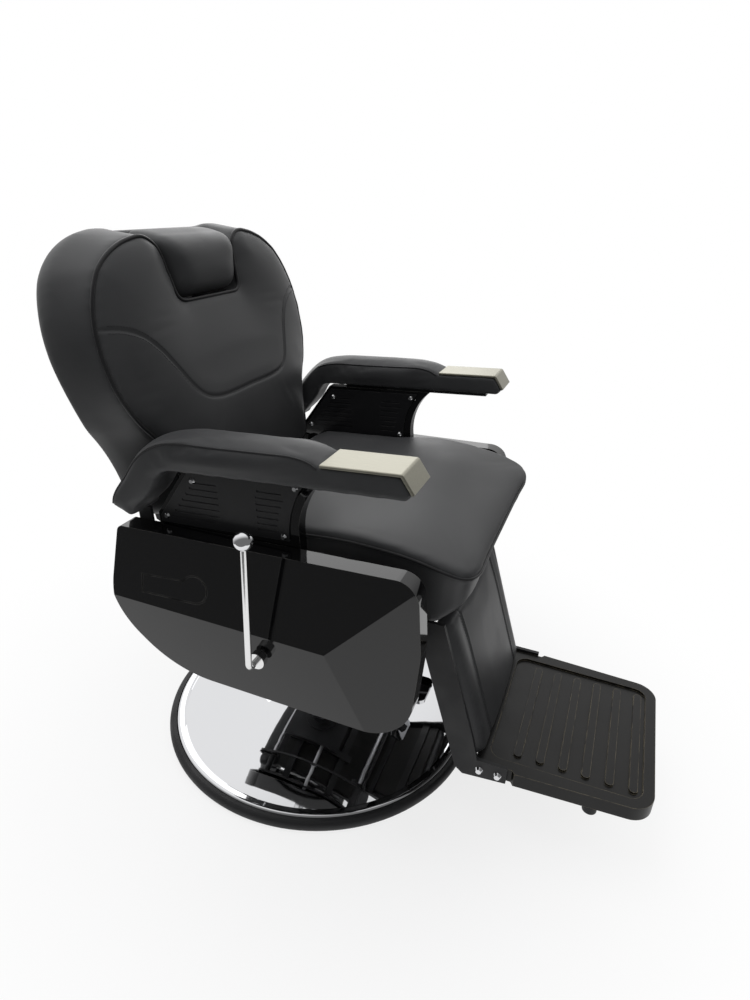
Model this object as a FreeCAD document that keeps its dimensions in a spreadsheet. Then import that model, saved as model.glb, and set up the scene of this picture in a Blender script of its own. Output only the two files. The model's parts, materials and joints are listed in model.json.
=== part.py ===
"""Barber chair: hydraulic base, swivelling seat frame, reclining back with linked legrest, sliding headrest.

Millimetres. The origin is the centre of the base on the floor, +Z is up, the chair faces -Y and the
sitter's right hand is at -X. The seat, arms and side plates are drawn level in a frame that leans
back by "tilt" about the origin; the back and the legrest pad have leaning frames of their own.
"""
import FreeCAD, Part
import Sketcher
import math
import os
import re

Vector = FreeCAD.Vector
doc = FreeCAD.newDocument("BarberChair")
sheet = doc.addObject("Spreadsheet::Sheet", "Sizes")

# Driving dimensions: name, value, meaning
SIZES = [
    ("running_gap", 0.05, "radial clearance of every shaft, pin and slide that turns"),
    ("seat_gap", 0.3, "clearance of a soft piece or a cover beside its neighbour"),
    ("tilt", 4.5, "backward lean of seat, arms and side plates, degrees"),
    ("rim_radius", 345, "outside of the rubber floor ring"),
    ("rim_width", 33, "floor ring, inside to outside"),
    ("rim_height", 24, "floor ring height"),
    ("plate_thick", 10, "base plate thickness"),
    ("dome_radius", 329.5, "rolled edge of the chrome dome"),
    ("dome_step", 27, "height of the rolled step round the dome"),
    ("dome_height", 92, "top of the dome"),
    ("dome_mouth", 70, "radius of the opening round the pump"),
    ("dome_wall", 2.5, "sheet thickness of the dome"),
    ("flange_radius", 105, "pump foot flange"),
    ("flange_thick", 10, "pump foot flange thickness"),
    ("bolt_circle", 85, "radius of the pump foot bolts"),
    ("bolt_radius", 5, "pump foot bolt shank"),
    ("pump_radius", 58, "pump cylinder outside"),
    ("pump_bore", 45, "pump cylinder bore radius"),
    ("pump_top", 235, "top of the pump cylinder"),
    ("gland_radius", 64, "gland nut on the cylinder"),
    ("gland_thick", 15, "gland nut above the cylinder"),
    ("rod_radius", 30, "lifting rod"),
    ("piston_low", 30, "underside of the piston at rest"),
    ("piston_thick", 25, "piston height"),
    ("rod_show", 40, "bare rod between gland and bearing at rest"),
    ("spigot_radius", 25, "swivel spigot on the rod"),
    ("bearing_thick", 8, "thrust bearing height"),
    ("head_length", 52, "swivel head height"),
    ("head_radius", 45, "swivel head outside"),
    ("mount_thick", 8, "mount plate under the seat frame"),
    ("mount_half", 118, "half size of the mount plate"),
    ("nut_height", 13, "spigot nut height"),
    ("nut_radius", 36, "spigot nut across corners, half"),
    ("pedal_y", 84, "pedal pivot in front of the pump axis"),
    ("pedal_z", 132, "pedal pivot height"),
    ("pedal_pin", 6, "pedal pin radius"),
    ("pedal_reach", 250, "front of the foot pad from the pump axis"),
    ("pedal_width", 80, "foot pad width"),
    ("rail_low", 440, "underside of the two long rails"),
    ("rail_top", 477, "top of the rails, under the seat board"),
    ("rail_x", 95, "rail centre from the chair's middle"),
    ("rail_width", 30, "rail and cross tube width"),
    ("side_thick", 6, "side plate thickness"),
    ("board_thick", 12, "plywood under seat and back"),
    ("seat_half", 250, "half width of the seat cushion"),
    ("seat_rear", 93, "back edge of the seat cushion"),
    ("seat_front", 416, "front welt of the seat cushion"),
    ("seat_side", 598, "seat height at its sides"),
    ("seat_crown", 8, "rise of the seat's middle above its sides"),
    ("seat_skirt", 455, "lower edge of the front boxing"),
    ("arm_clear", 8, "seat cushion to the inner arm panel"),
    ("panel_thick", 3, "arm panel sheet"),
    ("arm_thick", 22, "arm frame between its panels"),
    ("leg_thick", 15, "arm frame legs beside the side plates"),
    ("leg_clear", 1.6, "rear arm leg in front of the recline axle's spacers"),
    ("arm_low", 575, "underside of the arm frame"),
    ("arm_rail", 698, "underside of the arm rail"),
    ("arm_base", 704, "underside of pad and cap"),
    ("pad_lip", 4, "arm pad inside the inner panel"),
    ("pad_width", 77, "arm pad, inside to outside"),
    ("pad_top", 752, "top of the arm pad at its edges"),
    ("pad_crown", 5, "rise of the arm pad's middle"),
    ("cap_rear", 200, "joint between arm pad and metal cap"),
    ("cap_front", 322, "front upper edge of the metal cap"),
    ("cap_nose", 339, "front lower edge of the metal cap"),
    ("cap_top", 744, "top of the metal cap"),
    ("cap_thick", 4, "plate of the metal cap"),
    ("cover_gap", 3, "side plate to the open edge of its cover"),
    ("cover_depth", 63, "side cover, open edge to ridge"),
    ("cover_ridge_z", 449, "height of the level ridge"),
    ("cover_joint", 161, "where the three facets meet, forward of the axis"),
    ("cover_wall", 4, "moulded wall of the side covers"),
    ("slope_upper", 0.2, "fall of the upper facet per mm"),
    ("slope_lower", 0.099, "fall of the lower facet per mm"),
    ("slope_front", 0.203, "fall of the front facet per mm"),
    ("recline_y", 185, "recline axle behind the swivel axis"),
    ("recline_z", 520, "recline axle height"),
    ("recline_pin", 11, "recline axle radius"),
    ("leg_y", 255, "legrest axle in front of the swivel axis"),
    ("leg_z", 390, "legrest axle height"),
    ("leg_pin", 10, "legrest axle radius"),
    ("link_arm", 80, "axle to link pin, same on back and legrest"),
    ("link_lag", 25, "link arms behind straight down at rest, degrees"),
    ("link_pin", 7, "link pin radius"),
    ("link_height", 24, "link bar height"),
    ("bar_inner", 177, "inner face of the legrest bars"),
    ("bar_thick", 8, "legrest bars and back brackets"),
    ("layer_gap", 2, "legrest bars, links and back brackets apart"),
    ("link_thick", 6, "link bar thickness"),
    ("lever_y", 49, "lever shaft in front of the swivel axis"),
    ("lever_z", 412, "lever shaft height"),
    ("lever_shaft", 8, "lever shaft radius"),
    ("lever_clear", 37, "lever rod outside the cover's ridge"),
    ("lever_rod", 5.3, "lever rod radius"),
    ("lever_top", 643, "height of the knob's centre"),
    ("knob_radius", 15, "lever knob radius"),
    ("cam_gap", 16, "lever shaft to the rail of the link"),
    ("back_y", 240, "reference point of the back's front plane"),
    ("back_z", 895, "height of that point"),
    ("back_lean", 15.6, "lean of the back, degrees"),
    ("back_half", 318, "half width of the back at its widest"),
    ("back_waist", 222, "half width of the back between the arms"),
    ("back_low", 334, "lower edge of the back below the reference point"),
    ("lobe_top", 131, "top of the two lobes beside the notch"),
    ("back_top", 155, "top of the rear panel"),
    ("back_depth", 76, "front welt to the back board"),
    ("back_crown", 26, "crown of the back in front of its welt"),
    ("shell_depth", 125, "front welt to the rear panel"),
    ("notch_half", 85, "half width of the headrest notch at its foot"),
    ("notch_low", 18, "foot of the notch above the reference point"),
    ("head_half", 89, "half width of the headrest pillow"),
    ("head_low", 23, "foot of the pillow"),
    ("head_top", 157, "top of the pillow"),
    ("head_plate", 63.7, "rear face of the headrest plate"),
    ("slide_half", 25, "half width of the headrest slide"),
    ("pad_half", 171, "half width of the legrest pad"),
    ("pad_length", 282, "legrest pad, bottom to top"),
    ("pad_thick", 24, "legrest pad thickness at its edges"),
    ("pad_seam", 115, "sewn channels from the middle"),
    ("pad_lean", 18.7, "lean of the legrest pad, degrees"),
    ("pad_foot_y", 399, "front lower edge of the legrest pad"),
    ("pad_foot_z", 170, "height of that edge"),
    ("foot_half", 184, "half width of the footplate in front of the bars"),
    ("foot_nose", 172, "half width of the footplate at its front"),
    ("foot_rear", 392, "rear edge of the footplate"),
    ("foot_front", 703, "front edge of the footplate"),
    ("foot_top", 166, "top of the footplate rim"),
    ("foot_depth", 28, "depth of the turned-down rim"),
    ("foot_bend", 42, "rounding of the footplate's front corners"),
    ("foot_sheet", 3, "footplate sheet"),
    ("foot_sink", 5, "tread below the rim"),
    ("foot_border", 20, "width of the rim"),
    ("rib_count", 6, "pressed ribs across the tread"),
    ("rib_pitch", 41, "distance between ribs"),
    ("rib_width", 15, "width of a rib"),
    ("rib_half", 137, "half length of a rib"),
    ("rib_first", 462, "first rib in front of the swivel axis"),
]

# Sizes that follow from others
DERIVED = {
    "shoulder": "pump_top + gland_thick + rod_show",
    "panel_inner": "seat_half + arm_clear",
    "side_inner": "panel_inner + panel_thick + leg_thick",
    "pad_inner": "panel_inner - pad_lip",
    "pad_outer": "pad_inner + pad_width",
    "cover_inner": "side_inner + side_thick + cover_gap",
    "cover_ridge": "cover_inner + cover_depth",
    "lever_out": "cover_ridge + lever_clear",
    "link_inner": "bar_inner + bar_thick + layer_gap",
    "bracket_inner": "link_inner + link_thick + layer_gap",
}

for row, (alias, number, meaning) in enumerate(SIZES, 1):
    sheet.set(f"A{row}", meaning)
    sheet.set(f"B{row}", str(number))
    sheet.setAlias(f"B{row}", alias)
doc.recompute()
ALIASES = {alias for alias, number, meaning in SIZES}
SIDES = {"right": -1, "left": 1}
NODES = []

# Frames: y and z of the local origin, and the lean about the X axis
WORLD = ("0", "0", "0")
SEAT = ("0", "0", "tilt")
BACK = ("back_y", "back_z", "back_lean")
LEGPAD = ("-pad_foot_y", "pad_foot_z", "pad_lean")
LEG = ("-leg_y", "leg_z", "0")
LEVER = ("-lever_y", "lever_z", "0")


def spelled_out(text):
    """An expression with every size that follows from others written out in driving sizes."""

    def swap(word):
        return f"({spelled_out(DERIVED[word[0]])})" if word[0] in DERIVED else word[0]

    return re.sub(r"[A-Za-z_]\w*", swap, str(text))


def value(text):
    """The number that an expression of sizes stands for."""
    number = sheet.evalExpression(spelled_out(text))
    return float(getattr(number, "Value", number))


def bind(obj, prop, text):
    """Tie a property to an expression of sizes."""

    def on_sheet(word):
        return f"Sizes.{word[0]}" if word[0] in ALIASES else word[0]

    obj.setExpression(prop, re.sub(r"[A-Za-z_]\w*", on_sheet, spelled_out(text)))


def stand(obj, frame):
    """Place an object in one of the leaning frames."""
    y, z, lean = frame
    turn = FreeCAD.Rotation(Vector(-1, 0, 0), value(lean))
    obj.Placement = FreeCAD.Placement(Vector(0, value(y), value(z)), turn)
    if y != "0":
        bind(obj, "Placement.Base.y", y)
        bind(obj, "Placement.Base.z", z)
    if lean != "0":
        bind(obj, "Placement.Rotation.Angle", lean)


def node(obj, label, frame=WORLD):
    """Register a finished sub-part under its own name."""
    obj.Label = label
    if frame != WORLD:
        stand(obj, frame)
    NODES.append(obj)
    return obj


def in_frame(frame, y, z):
    """Expressions of a world point (y, z) inside a leaning frame."""
    dy = f"(({y}) - ({frame[0]}))"
    dz = f"(({z}) - ({frame[1]}))"
    lean = frame[2]
    return (f"{dy}*cos({lean}) - {dz}*sin({lean})", f"{dy}*sin({lean}) + {dz}*cos({lean})")


def span(sign, inner, outer):
    """Low and high x of a slab between two distances from the middle, on one side."""
    return (inner, outer) if sign > 0 else (f"-({outer})", f"-({inner})")


# Solids from primitives


def box(x, y, z):
    """A block between (low, high) expressions along each axis."""
    block = doc.addObject("Part::Box", "block")
    for prop, axis, (low, high) in (("Length", "x", x), ("Width", "y", y), ("Height", "z", z)):
        bind(block, prop, f"({high}) - ({low})")
        bind(block, f"Placement.Base.{axis}", low)
    return block


def rod(radius, along, low, high, at=("0", "0")):
    """A cylinder along X, Y or Z; at gives its other two coordinates in X, Y, Z order."""
    cylinder = doc.addObject("Part::Cylinder", "rod")
    bind(cylinder, "Radius", radius)
    bind(cylinder, "Height", f"({high}) - ({low})")
    turns = {"X": (Vector(0, 1, 0), 90), "Y": (Vector(-1, 0, 0), 90), "Z": (Vector(0, 0, 1), 0)}
    cylinder.Placement = FreeCAD.Placement(Vector(), FreeCAD.Rotation(*turns[along]))
    places = dict(zip([axis for axis in "XYZ" if axis != along], at))
    places[along] = low
    for axis, text in places.items():
        bind(cylinder, f"Placement.Base.{axis.lower()}", text)
    return cylinder


def fuse(parts):
    """One solid out of several."""
    joined = doc.addObject("Part::MultiFuse", "joined")
    joined.Shapes = parts
    return joined


def cut(base, tools):
    """A solid less one or more others."""
    result = doc.addObject("Part::Cut", "cut")
    result.Base = base
    result.Tool = tools[0] if len(tools) == 1 else fuse(tools)
    return result


def group(parts):
    """Several separate solids under one name."""
    bundle = doc.addObject("Part::Compound", "bundle")
    bundle.Links = parts
    return bundle


# Solids from sketches


class Via(tuple):
    """A point that an arc passes through on its way to the next corner."""


def blank():
    """An empty body; features are added to it in order."""
    return doc.addObject("PartDesign::Body", "form")


def body(label, frame=WORLD):
    """An empty body that is a sub-part of its own."""
    return node(blank(), label, frame)


def plane(part, role):
    """One of a body's own origin planes or axes."""
    return next(feature for feature in part.Origin.OriginFeatures if feature.Role == role)


def sketch(part, role, outlines, circles=(), offset="0"):
    """A sketch of closed outlines and circles, each corner tied to the sheet."""
    drawing = part.newObject("Sketcher::SketchObject", "outline")
    drawing.AttachmentSupport = [(plane(part, role), "")]
    drawing.MapMode = "FlatFace"
    if offset != "0":
        bind(drawing, "AttachmentOffset.Base.z", offset)
    for outline in outlines:
        draw(drawing, outline)
    for x, y, radius in circles:
        ring = drawing.addGeometry(Part.Circle(Vector(value(x), value(y), 0), Vector(0, 0, 1), value(radius)))
        pin_down(drawing, ring, 3, x, y)
        size = drawing.addConstraint(Sketcher.Constraint("Radius", ring, value(radius)))
        bind(drawing, f"Constraints[{size}]", radius)
    return drawing


def pin_down(drawing, element, end, x, y):
    """Fix one point of a sketch element to two expressions."""
    for kind, text in (("DistanceX", x), ("DistanceY", y)):
        index = drawing.addConstraint(Sketcher.Constraint(kind, -1, 1, element, end, value(text)))
        if re.search("[a-z]", str(text)):
            bind(drawing, f"Constraints[{index}]", text)


def draw(drawing, outline):
    """Lines and three-point arcs round one closed outline."""
    corners = [point for point in outline if not isinstance(point, Via)]
    spots = [Vector(value(x), value(y), 0) for x, y in corners]
    elements = []
    index = 0
    for place, point in enumerate(outline):
        if isinstance(point, Via):
            continue
        start = spots[index]
        end = spots[(index + 1) % len(spots)]
        after = outline[(place + 1) % len(outline)]
        if isinstance(after, Via):
            bend = Vector(value(after[0]), value(after[1]), 0)
            elements.append(drawing.addGeometry(Part.Arc(start, bend, end)))
        else:
            elements.append(drawing.addGeometry(Part.LineSegment(start, end)))
        index += 1
    first = [1 if (drawing.getPoint(e, 1) - spot).Length < 1e-6 else 2 for e, spot in zip(elements, spots)]
    for i, element in enumerate(elements):
        j = (i + 1) % len(elements)
        drawing.addConstraint(Sketcher.Constraint("Coincident", element, 3 - first[i], elements[j], first[j]))
        pin_down(drawing, element, first[i], *corners[i])


def pad(part, drawing, length, back=False, middle=False):
    """Thicken a sketch along its normal."""
    feature = part.newObject("PartDesign::Pad", "pad")
    feature.Profile = drawing
    bind(feature, "Length", length)
    feature.Reversed = back
    feature.Midplane = middle
    return feature


def pocket(part, drawing, length, back=False, middle=False):
    """Cut a sketch into the solid; the solid has to lose volume."""
    doc.recompute()
    before = part.Shape.Volume
    feature = part.newObject("PartDesign::Pocket", "pocket")
    feature.Profile = drawing
    bind(feature, "Length", length)
    feature.Reversed = back
    feature.Midplane = middle
    doc.recompute()
    if not part.Shape.Volume < before - 1e-3:
        raise RuntimeError(f"{part.Label}: a pocket cuts nothing")
    return feature


def turned(label, outlines, frame=WORLD):
    """A body of revolution about Z from outlines given as (radius, height)."""
    part = body(label, frame)
    feature = part.newObject("PartDesign::Revolution", "turned")
    feature.Profile = sketch(part, "XZ_Plane", outlines)
    feature.ReferenceAxis = (plane(part, "Z_Axis"), [""])
    feature.Angle = 360
    return part


def add_layer(part, outlines, circles, x, sign):
    """Thicken outlines and circles of the YZ plane between two distances from the middle."""
    inner, outer = x
    drawing = sketch(part, "YZ_Plane", outlines, circles, offset=f"{sign}*({inner})")
    return pad(part, drawing, f"({outer}) - ({inner})", back=sign < 0)


def drill(part, holes, x, sign):
    """Round holes along X between two distances from the middle."""
    inner, outer = x
    drawing = sketch(part, "YZ_Plane", [], holes, offset=f"{sign}*({outer})")
    return pocket(part, drawing, f"({outer}) - ({inner})", back=sign < 0)


def plate(label, outlines, x, sign=1, frame=WORLD):
    """A flat sub-part in the YZ plane between two distances from the middle."""
    part = body(label, frame)
    add_layer(part, outlines, (), x, sign)
    return part


def round_corners(part, axis, places, radius):
    """Fillet the edges along an axis that stand at the given points."""
    doc.recompute()
    base = part.Tip
    names = []
    for number, edge in enumerate(base.Shape.Edges, 1):
        if len(edge.Vertexes) < 2:
            continue
        way = edge.Vertexes[1].Point - edge.Vertexes[0].Point
        flat = [getattr(way, other) for other in "xyz" if other != axis]
        if way.Length < 1e-6 or max(map(abs, flat)) > 1e-6:
            continue
        spot = [getattr(edge.Vertexes[0].Point, other) for other in "xyz" if other != axis]
        if any(math.dist(spot, [value(a), value(b)]) < 1e-3 for a, b in places):
            names.append(f"Edge{number}")
    feature = part.newObject("PartDesign::Fillet", "rounded")
    feature.Base = (base, names)
    bind(feature, "Radius", radius)
    return feature


# Soft forms: lofts through sections of lines and arcs


def wire(points):
    """A closed wire; a Via point makes the edge through it an arc."""
    edges = []
    corners = [i for i, point in enumerate(points) if not isinstance(point, Via)]
    for here, there in zip(corners, corners[1:] + corners[:1]):
        start = Vector(*points[here])
        end = Vector(*points[there])
        middle = points[(here + 1) % len(points)]
        if isinstance(middle, Via):
            edges.append(Part.Arc(start, Vector(*middle), end).toShape())
        else:
            edges.append(Part.LineSegment(start, end).toShape())
    return Part.Wire(edges)


def soft(label, sections, frame=WORLD, ruled=False, adds=(), cuts=()):
    """A closed soft solid lofted through sections, with blocks added and pockets taken out."""
    form = Part.makeLoft([wire(points) for points in sections], True, ruled)
    for extra in adds:
        form = form.fuse(extra)
    for tool in cuts:
        form = form.cut(tool)
    feature = doc.addObject("Part::Feature", label)
    feature.Shape = form
    return node(feature, label, frame)


def inset(points, distance):
    """A left-turning outline moved inwards; tight outer corners move less, so that they never turn over."""
    count = len(points)
    reach = [distance] * count
    for i, point in enumerate(points):
        if not isinstance(point, Via):
            continue
        start, end = points[i - 1], points[(i + 1) % count]
        turn = (point[0] - start[0]) * (end[1] - point[1]) - (point[1] - start[1]) * (end[0] - point[0])
        if turn > 0:
            sides = math.dist(start, point) * math.dist(point, end) * math.dist(start, end)
            limit = 0.5 * sides / (2 * turn)
            for k in (i - 1, i, (i + 1) % count):
                reach[k] = min(reach[k], limit)
    moved = []
    for i, point in enumerate(points):
        before = points[i - 1]
        after = points[(i + 1) % count]
        run = (after[0] - before[0], after[1] - before[1])
        step = reach[i] / math.hypot(*run)
        shifted = (point[0] - step * run[1], point[1] + step * run[0])
        moved.append(Via(shifted) if isinstance(point, Via) else shifted)
    return moved


def block(low, high):
    """A plain cutting block between two corners."""
    return Part.makeBox(*(b - a for a, b in zip(low, high)), Vector(*low))


def upright(outline, depth):
    """An (x, height) outline as points at one depth, arcs kept."""
    placed = []
    for point in outline:
        spot = (point[0], depth, point[1])
        placed.append(Via(spot) if isinstance(point, Via) else spot)
    return placed


# Base: floor ring, plate, dome and hydraulic pump

rim_inner = "rim_radius - rim_width"
turned("base_rim", [[
    (rim_inner, "0"),
    ("rim_radius - rim_height/3", "0"),
    Via(("rim_radius", "rim_height/2")),
    ("rim_radius - rim_height/3", "rim_height"),
    ("dome_radius + seat_gap", "rim_height"),
    ("dome_radius + seat_gap", "plate_thick"),
    (rim_inner, "plate_thick"),
]])

dome_foot = "dome_radius - 20"
turned("base_dome", [[
    ("dome_radius - 30", "plate_thick"),
    ("dome_radius", "plate_thick"),
    ("dome_radius", "dome_step - 8"),
    Via(("dome_radius - 2.3", "dome_step - 2.3")),
    ("dome_radius - 8", "dome_step"),
    ("dome_radius - 16", "dome_step"),
    (dome_foot, "dome_step - 3"),
    Via(("(dome_radius + dome_mouth)/2", "0.7*dome_height")),
    ("dome_mouth + 8", "dome_height"),
    ("dome_mouth", "dome_height"),
    ("dome_mouth", "dome_height - dome_wall"),
    ("dome_mouth + 8", "dome_height - dome_wall"),
    Via(("(dome_radius + dome_mouth)/2", "0.7*dome_height - dome_wall")),
    (dome_foot, "dome_step - 3 - dome_wall"),
    ("dome_radius - 15", "dome_step - dome_wall"),
    ("dome_radius - 8", "dome_step - dome_wall"),
    Via(("dome_radius - dome_wall - 1.6", "dome_step - dome_wall - 1.6")),
    ("dome_radius - dome_wall", "dome_step - 8"),
    ("dome_radius - dome_wall", "plate_thick + dome_wall"),
    ("dome_radius - 30", "plate_thick + dome_wall"),
]])

foot_bolts = [(f"bolt_circle*cos({45 + 90 * k})", f"bolt_circle*sin({45 + 90 * k})") for k in range(4)]
plate_disc = rod(f"{rim_inner} - seat_gap", "Z", "0", "plate_thick")
bolt_sockets = [rod("bolt_radius + seat_gap", "Z", "3", "plate_thick + 1", spot) for spot in foot_bolts]
node(cut(plate_disc, bolt_sockets), "base_plate")

flange_top = "plate_thick + flange_thick"
pump = turned("pump_cylinder", [[
    ("0", "plate_thick"),
    ("flange_radius", "plate_thick"),
    ("flange_radius", flange_top),
    ("pump_radius", flange_top),
    ("pump_radius", "pump_top"),
    ("pump_bore", "pump_top"),
    ("pump_bore", f"{flange_top} + 4"),
    ("0", f"{flange_top} + 4"),
]])
bolt_hole = sketch(pump, "XY_Plane", [], [(*foot_bolts[0], "bolt_radius + seat_gap")], offset=flange_top)
first_hole = pocket(pump, bolt_hole, "flange_thick")
hole_ring = pump.newObject("PartDesign::PolarPattern", "foot_bolt_holes")
hole_ring.Originals = [first_hole]
hole_ring.Axis = (plane(pump, "Z_Axis"), [""])
hole_ring.Angle = 360
hole_ring.Occurrences = len(foot_bolts)
pump.Tip = hole_ring

pump_bolts = []
for spot in foot_bolts:
    hexagon = doc.addObject("Part::Prism", "hexagon")
    hexagon.Polygon = 6
    bind(hexagon, "Circumradius", "1.9*bolt_radius")
    bind(hexagon, "Height", "1.3*bolt_radius")
    bind(hexagon, "Placement.Base.x", spot[0])
    bind(hexagon, "Placement.Base.y", spot[1])
    bind(hexagon, "Placement.Base.z", flange_top)
    pump_bolts.append(fuse([hexagon, rod("bolt_radius", "Z", "4", flange_top, spot)]))
node(group(pump_bolts), "pump_bolts")

gland_top = "pump_top + gland_thick"
rod_fit = "rod_radius + running_gap"
turned("pump_gland", [[
    (rod_fit, "pump_top - 13"),
    ("pump_bore - running_gap", "pump_top - 13"),
    ("pump_bore - running_gap", "pump_top"),
    ("gland_radius", "pump_top"),
    ("gland_radius", f"{gland_top} - 3"),
    ("gland_radius - 3", gland_top),
    (rod_fit, gland_top),
]])
turned("gland_seal", [[
    (rod_fit, gland_top),
    ("rod_radius + 9", gland_top),
    ("rod_radius + 3", f"{gland_top} + 6"),
    (rod_fit, f"{gland_top} + 6"),
]])
turned("dome_collar", [[
    ("pump_radius + running_gap", "dome_height"),
    ("dome_mouth + 16", "dome_height"),
    ("dome_mouth + 13", "dome_height + 5"),
    ("pump_radius + 6", "dome_height + 11"),
    ("pump_radius + running_gap", "dome_height + 11"),
]])

# Foot pedal at the front of the pump

ear_gap = "15"
ear_z = ("pedal_z - 14", "pedal_z + 14")
ears = []
for sign in SIDES.values():
    ears.append(box(span(sign, ear_gap, f"{ear_gap} + 6"), ("-pedal_y - 13", "-pump_radius + 10"), ear_z))
pin_hole = rod("pedal_pin + running_gap", "X", f"-{ear_gap} - 10", f"{ear_gap} + 10", ("-pedal_y", "pedal_z"))
pump_wall = rod("pump_radius + running_gap", "Z", "pedal_z - 30", "pedal_z + 30")
bridge = box((f"-{ear_gap} - 1", f"{ear_gap} + 1"), ("-pump_radius - 6", "-pump_radius + 10"), ear_z)
node(cut(fuse(ears + [bridge]), [pin_hole, pump_wall]), "pedal_bracket")
node(rod("pedal_pin", "X", f"-{ear_gap} - 9", f"{ear_gap} + 9", ("-pedal_y", "pedal_z")), "pedal_pin")

pedal_hub = rod("13", "X", f"-{ear_gap} + seat_gap", f"{ear_gap} - seat_gap", ("-pedal_y", "pedal_z"))
pedal_bar = blank()
pad(pedal_bar, sketch(pedal_bar, "YZ_Plane", [[
    ("-pedal_y", "pedal_z + 10"),
    ("-pedal_y", "pedal_z - 12"),
    ("-pedal_reach + 8", "pedal_z - 17"),
    ("-pedal_reach + 8", "pedal_z - 7"),
    ("-pedal_reach + 50", "pedal_z - 7"),
]]), "16", middle=True)
pedal_bore = rod("pedal_pin + running_gap", "X", "-40", "40", ("-pedal_y", "pedal_z"))
node(cut(fuse([pedal_hub, pedal_bar]), [pedal_bore]), "pedal_arm")

pedal_pad = body("pedal_pad")
pedal_corners = [
    ("-pedal_width/2", "-pedal_reach"),
    ("pedal_width/2", "-pedal_reach"),
    ("pedal_width/2", "-pedal_reach + 46"),
    ("-pedal_width/2", "-pedal_reach + 46"),
]
pad(pedal_pad, sketch(pedal_pad, "XY_Plane", [pedal_corners], offset="pedal_z - 7"), "9")
round_corners(pedal_pad, "z", pedal_corners, "14")

# Lifting column

head_low = "shoulder + bearing_thick"
mount_low = f"{head_low} + head_length"
mount_top = f"{mount_low} + mount_thick"
turned("piston_rod", [[
    ("0", "piston_low + piston_thick"),
    ("rod_radius", "piston_low + piston_thick"),
    ("rod_radius", "shoulder"),
    ("spigot_radius", "shoulder"),
    ("spigot_radius", f"{mount_top} + nut_height + 3"),
    ("0", f"{mount_top} + nut_height + 3"),
]])
seal_groove = "pump_bore - 3.5"
turned("piston_head", [[
    ("0", "piston_low"),
    ("pump_bore - running_gap", "piston_low"),
    ("pump_bore - running_gap", "piston_low + 8"),
    (seal_groove, "piston_low + 8"),
    (seal_groove, "piston_low + 17"),
    ("pump_bore - running_gap", "piston_low + 17"),
    ("pump_bore - running_gap", "piston_low + piston_thick"),
    ("0", "piston_low + piston_thick"),
]])
turned("piston_seal", [[
    (seal_groove, "piston_low + 8"),
    ("pump_bore - running_gap", "piston_low + 8"),
    ("pump_bore - running_gap", "piston_low + 17"),
    (seal_groove, "piston_low + 17"),
]])
turned("thrust_bearing", [[
    ("spigot_radius + running_gap", "shoulder"),
    ("head_radius", "shoulder"),
    ("head_radius", "shoulder + bearing_thick"),
    ("spigot_radius + running_gap", "shoulder + bearing_thick"),
]])
nut = doc.addObject("Part::Prism", "nut")
nut.Polygon = 6
bind(nut, "Circumradius", "nut_radius")
bind(nut, "Height", "nut_height - seat_gap")
bind(nut, "Placement.Base.z", f"{mount_top} + seat_gap")
node(cut(nut, [rod("spigot_radius", "Z", mount_low, f"{mount_top} + 60")]), "spigot_nut")

# Seat frame

spigot_fit = "spigot_radius + running_gap"
turned("swivel_head", [[
    (spigot_fit, head_low),
    ("head_radius", head_low),
    ("head_radius", f"{mount_low} - 10"),
    ("head_radius + 25", f"{mount_low} - 10"),
    ("head_radius + 25", mount_low),
    (spigot_fit, mount_low),
]])

mount_plate = cut(
    box(("-mount_half", "mount_half"), ("-mount_half", "mount_half"), (mount_low, mount_top)),
    [rod("spigot_radius + 1", "Z", f"{mount_low} - 1", f"{mount_top} + 1")],
)
weldment = [mount_plate]
rails = []
for sign in SIDES.values():
    web = blank()
    web_outline = [
        ("-mount_half + 4", mount_top),
        ("mount_half - 12", mount_top),
        ("mount_half - 12", "rail_low + 8"),
        ("-mount_half + 4", "rail_low + 20"),
    ]
    web_x = ("rail_x - 4", "rail_x + 4")
    add_layer(web, [web_outline], (), web_x, sign)
    weldment.append(web)
    rail_x = span(sign, "rail_x - rail_width/2", "rail_x + rail_width/2")
    rails.append(box(rail_x, ("-225", "seat_rear - 8"), ("rail_low", "rail_top")))
for tube_y in (("-205", "-205 + rail_width"), ("10", "10 + rail_width")):
    rails.append(box(("-side_inner", "side_inner"), tube_y, ("rail_top - 25", "rail_top")))
rail_grid = fuse(rails)
stand(rail_grid, SEAT)
shaft_x = ("-side_inner", "-rail_x + 8")
shaft_room = rod("lever_shaft + running_gap", "X", *shaft_x, ("-lever_y", "lever_z"))
node(cut(fuse(weldment + [rail_grid]), [shaft_room]), "seat_frame")

# Side plates, axles and seat

recline_at = in_frame(SEAT, "recline_y", "recline_z")
leg_at = in_frame(SEAT, "-leg_y", "leg_z")
lever_at = in_frame(SEAT, "-lever_y", "lever_z")
side_outer = "side_inner + side_thick"
side_x = ("side_inner", side_outer)
pad_foot = "612"
for side, sign in SIDES.items():
    side_plate = plate(f"side_plate_{side}", [[
        (f"{leg_at[0]} - 28", f"{leg_at[1]} - 26"),
        (f"{leg_at[0]} - 28", f"{leg_at[1]} + 24"),
        ("-170", "arm_low - seat_gap"),
        ("152", "arm_low - seat_gap"),
        ("152", f"{pad_foot} - seat_gap"),
        ("178", f"{pad_foot} - seat_gap"),
        ("178", f"{recline_at[1]} - 30"),
        (f"{recline_at[0]} - 30", f"{recline_at[1]} - 50"),
        (f"{lever_at[0]} + 30", f"{lever_at[1]} - 30"),
        (f"{leg_at[0]} + 30", f"{leg_at[1]} - 26"),
    ]], side_x, sign, SEAT)
    drill(side_plate, [
        (*recline_at, "recline_pin + running_gap"),
        (*leg_at, "leg_pin + running_gap"),
        (*lever_at, "lever_shaft + running_gap"),
    ], side_x, sign)

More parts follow.
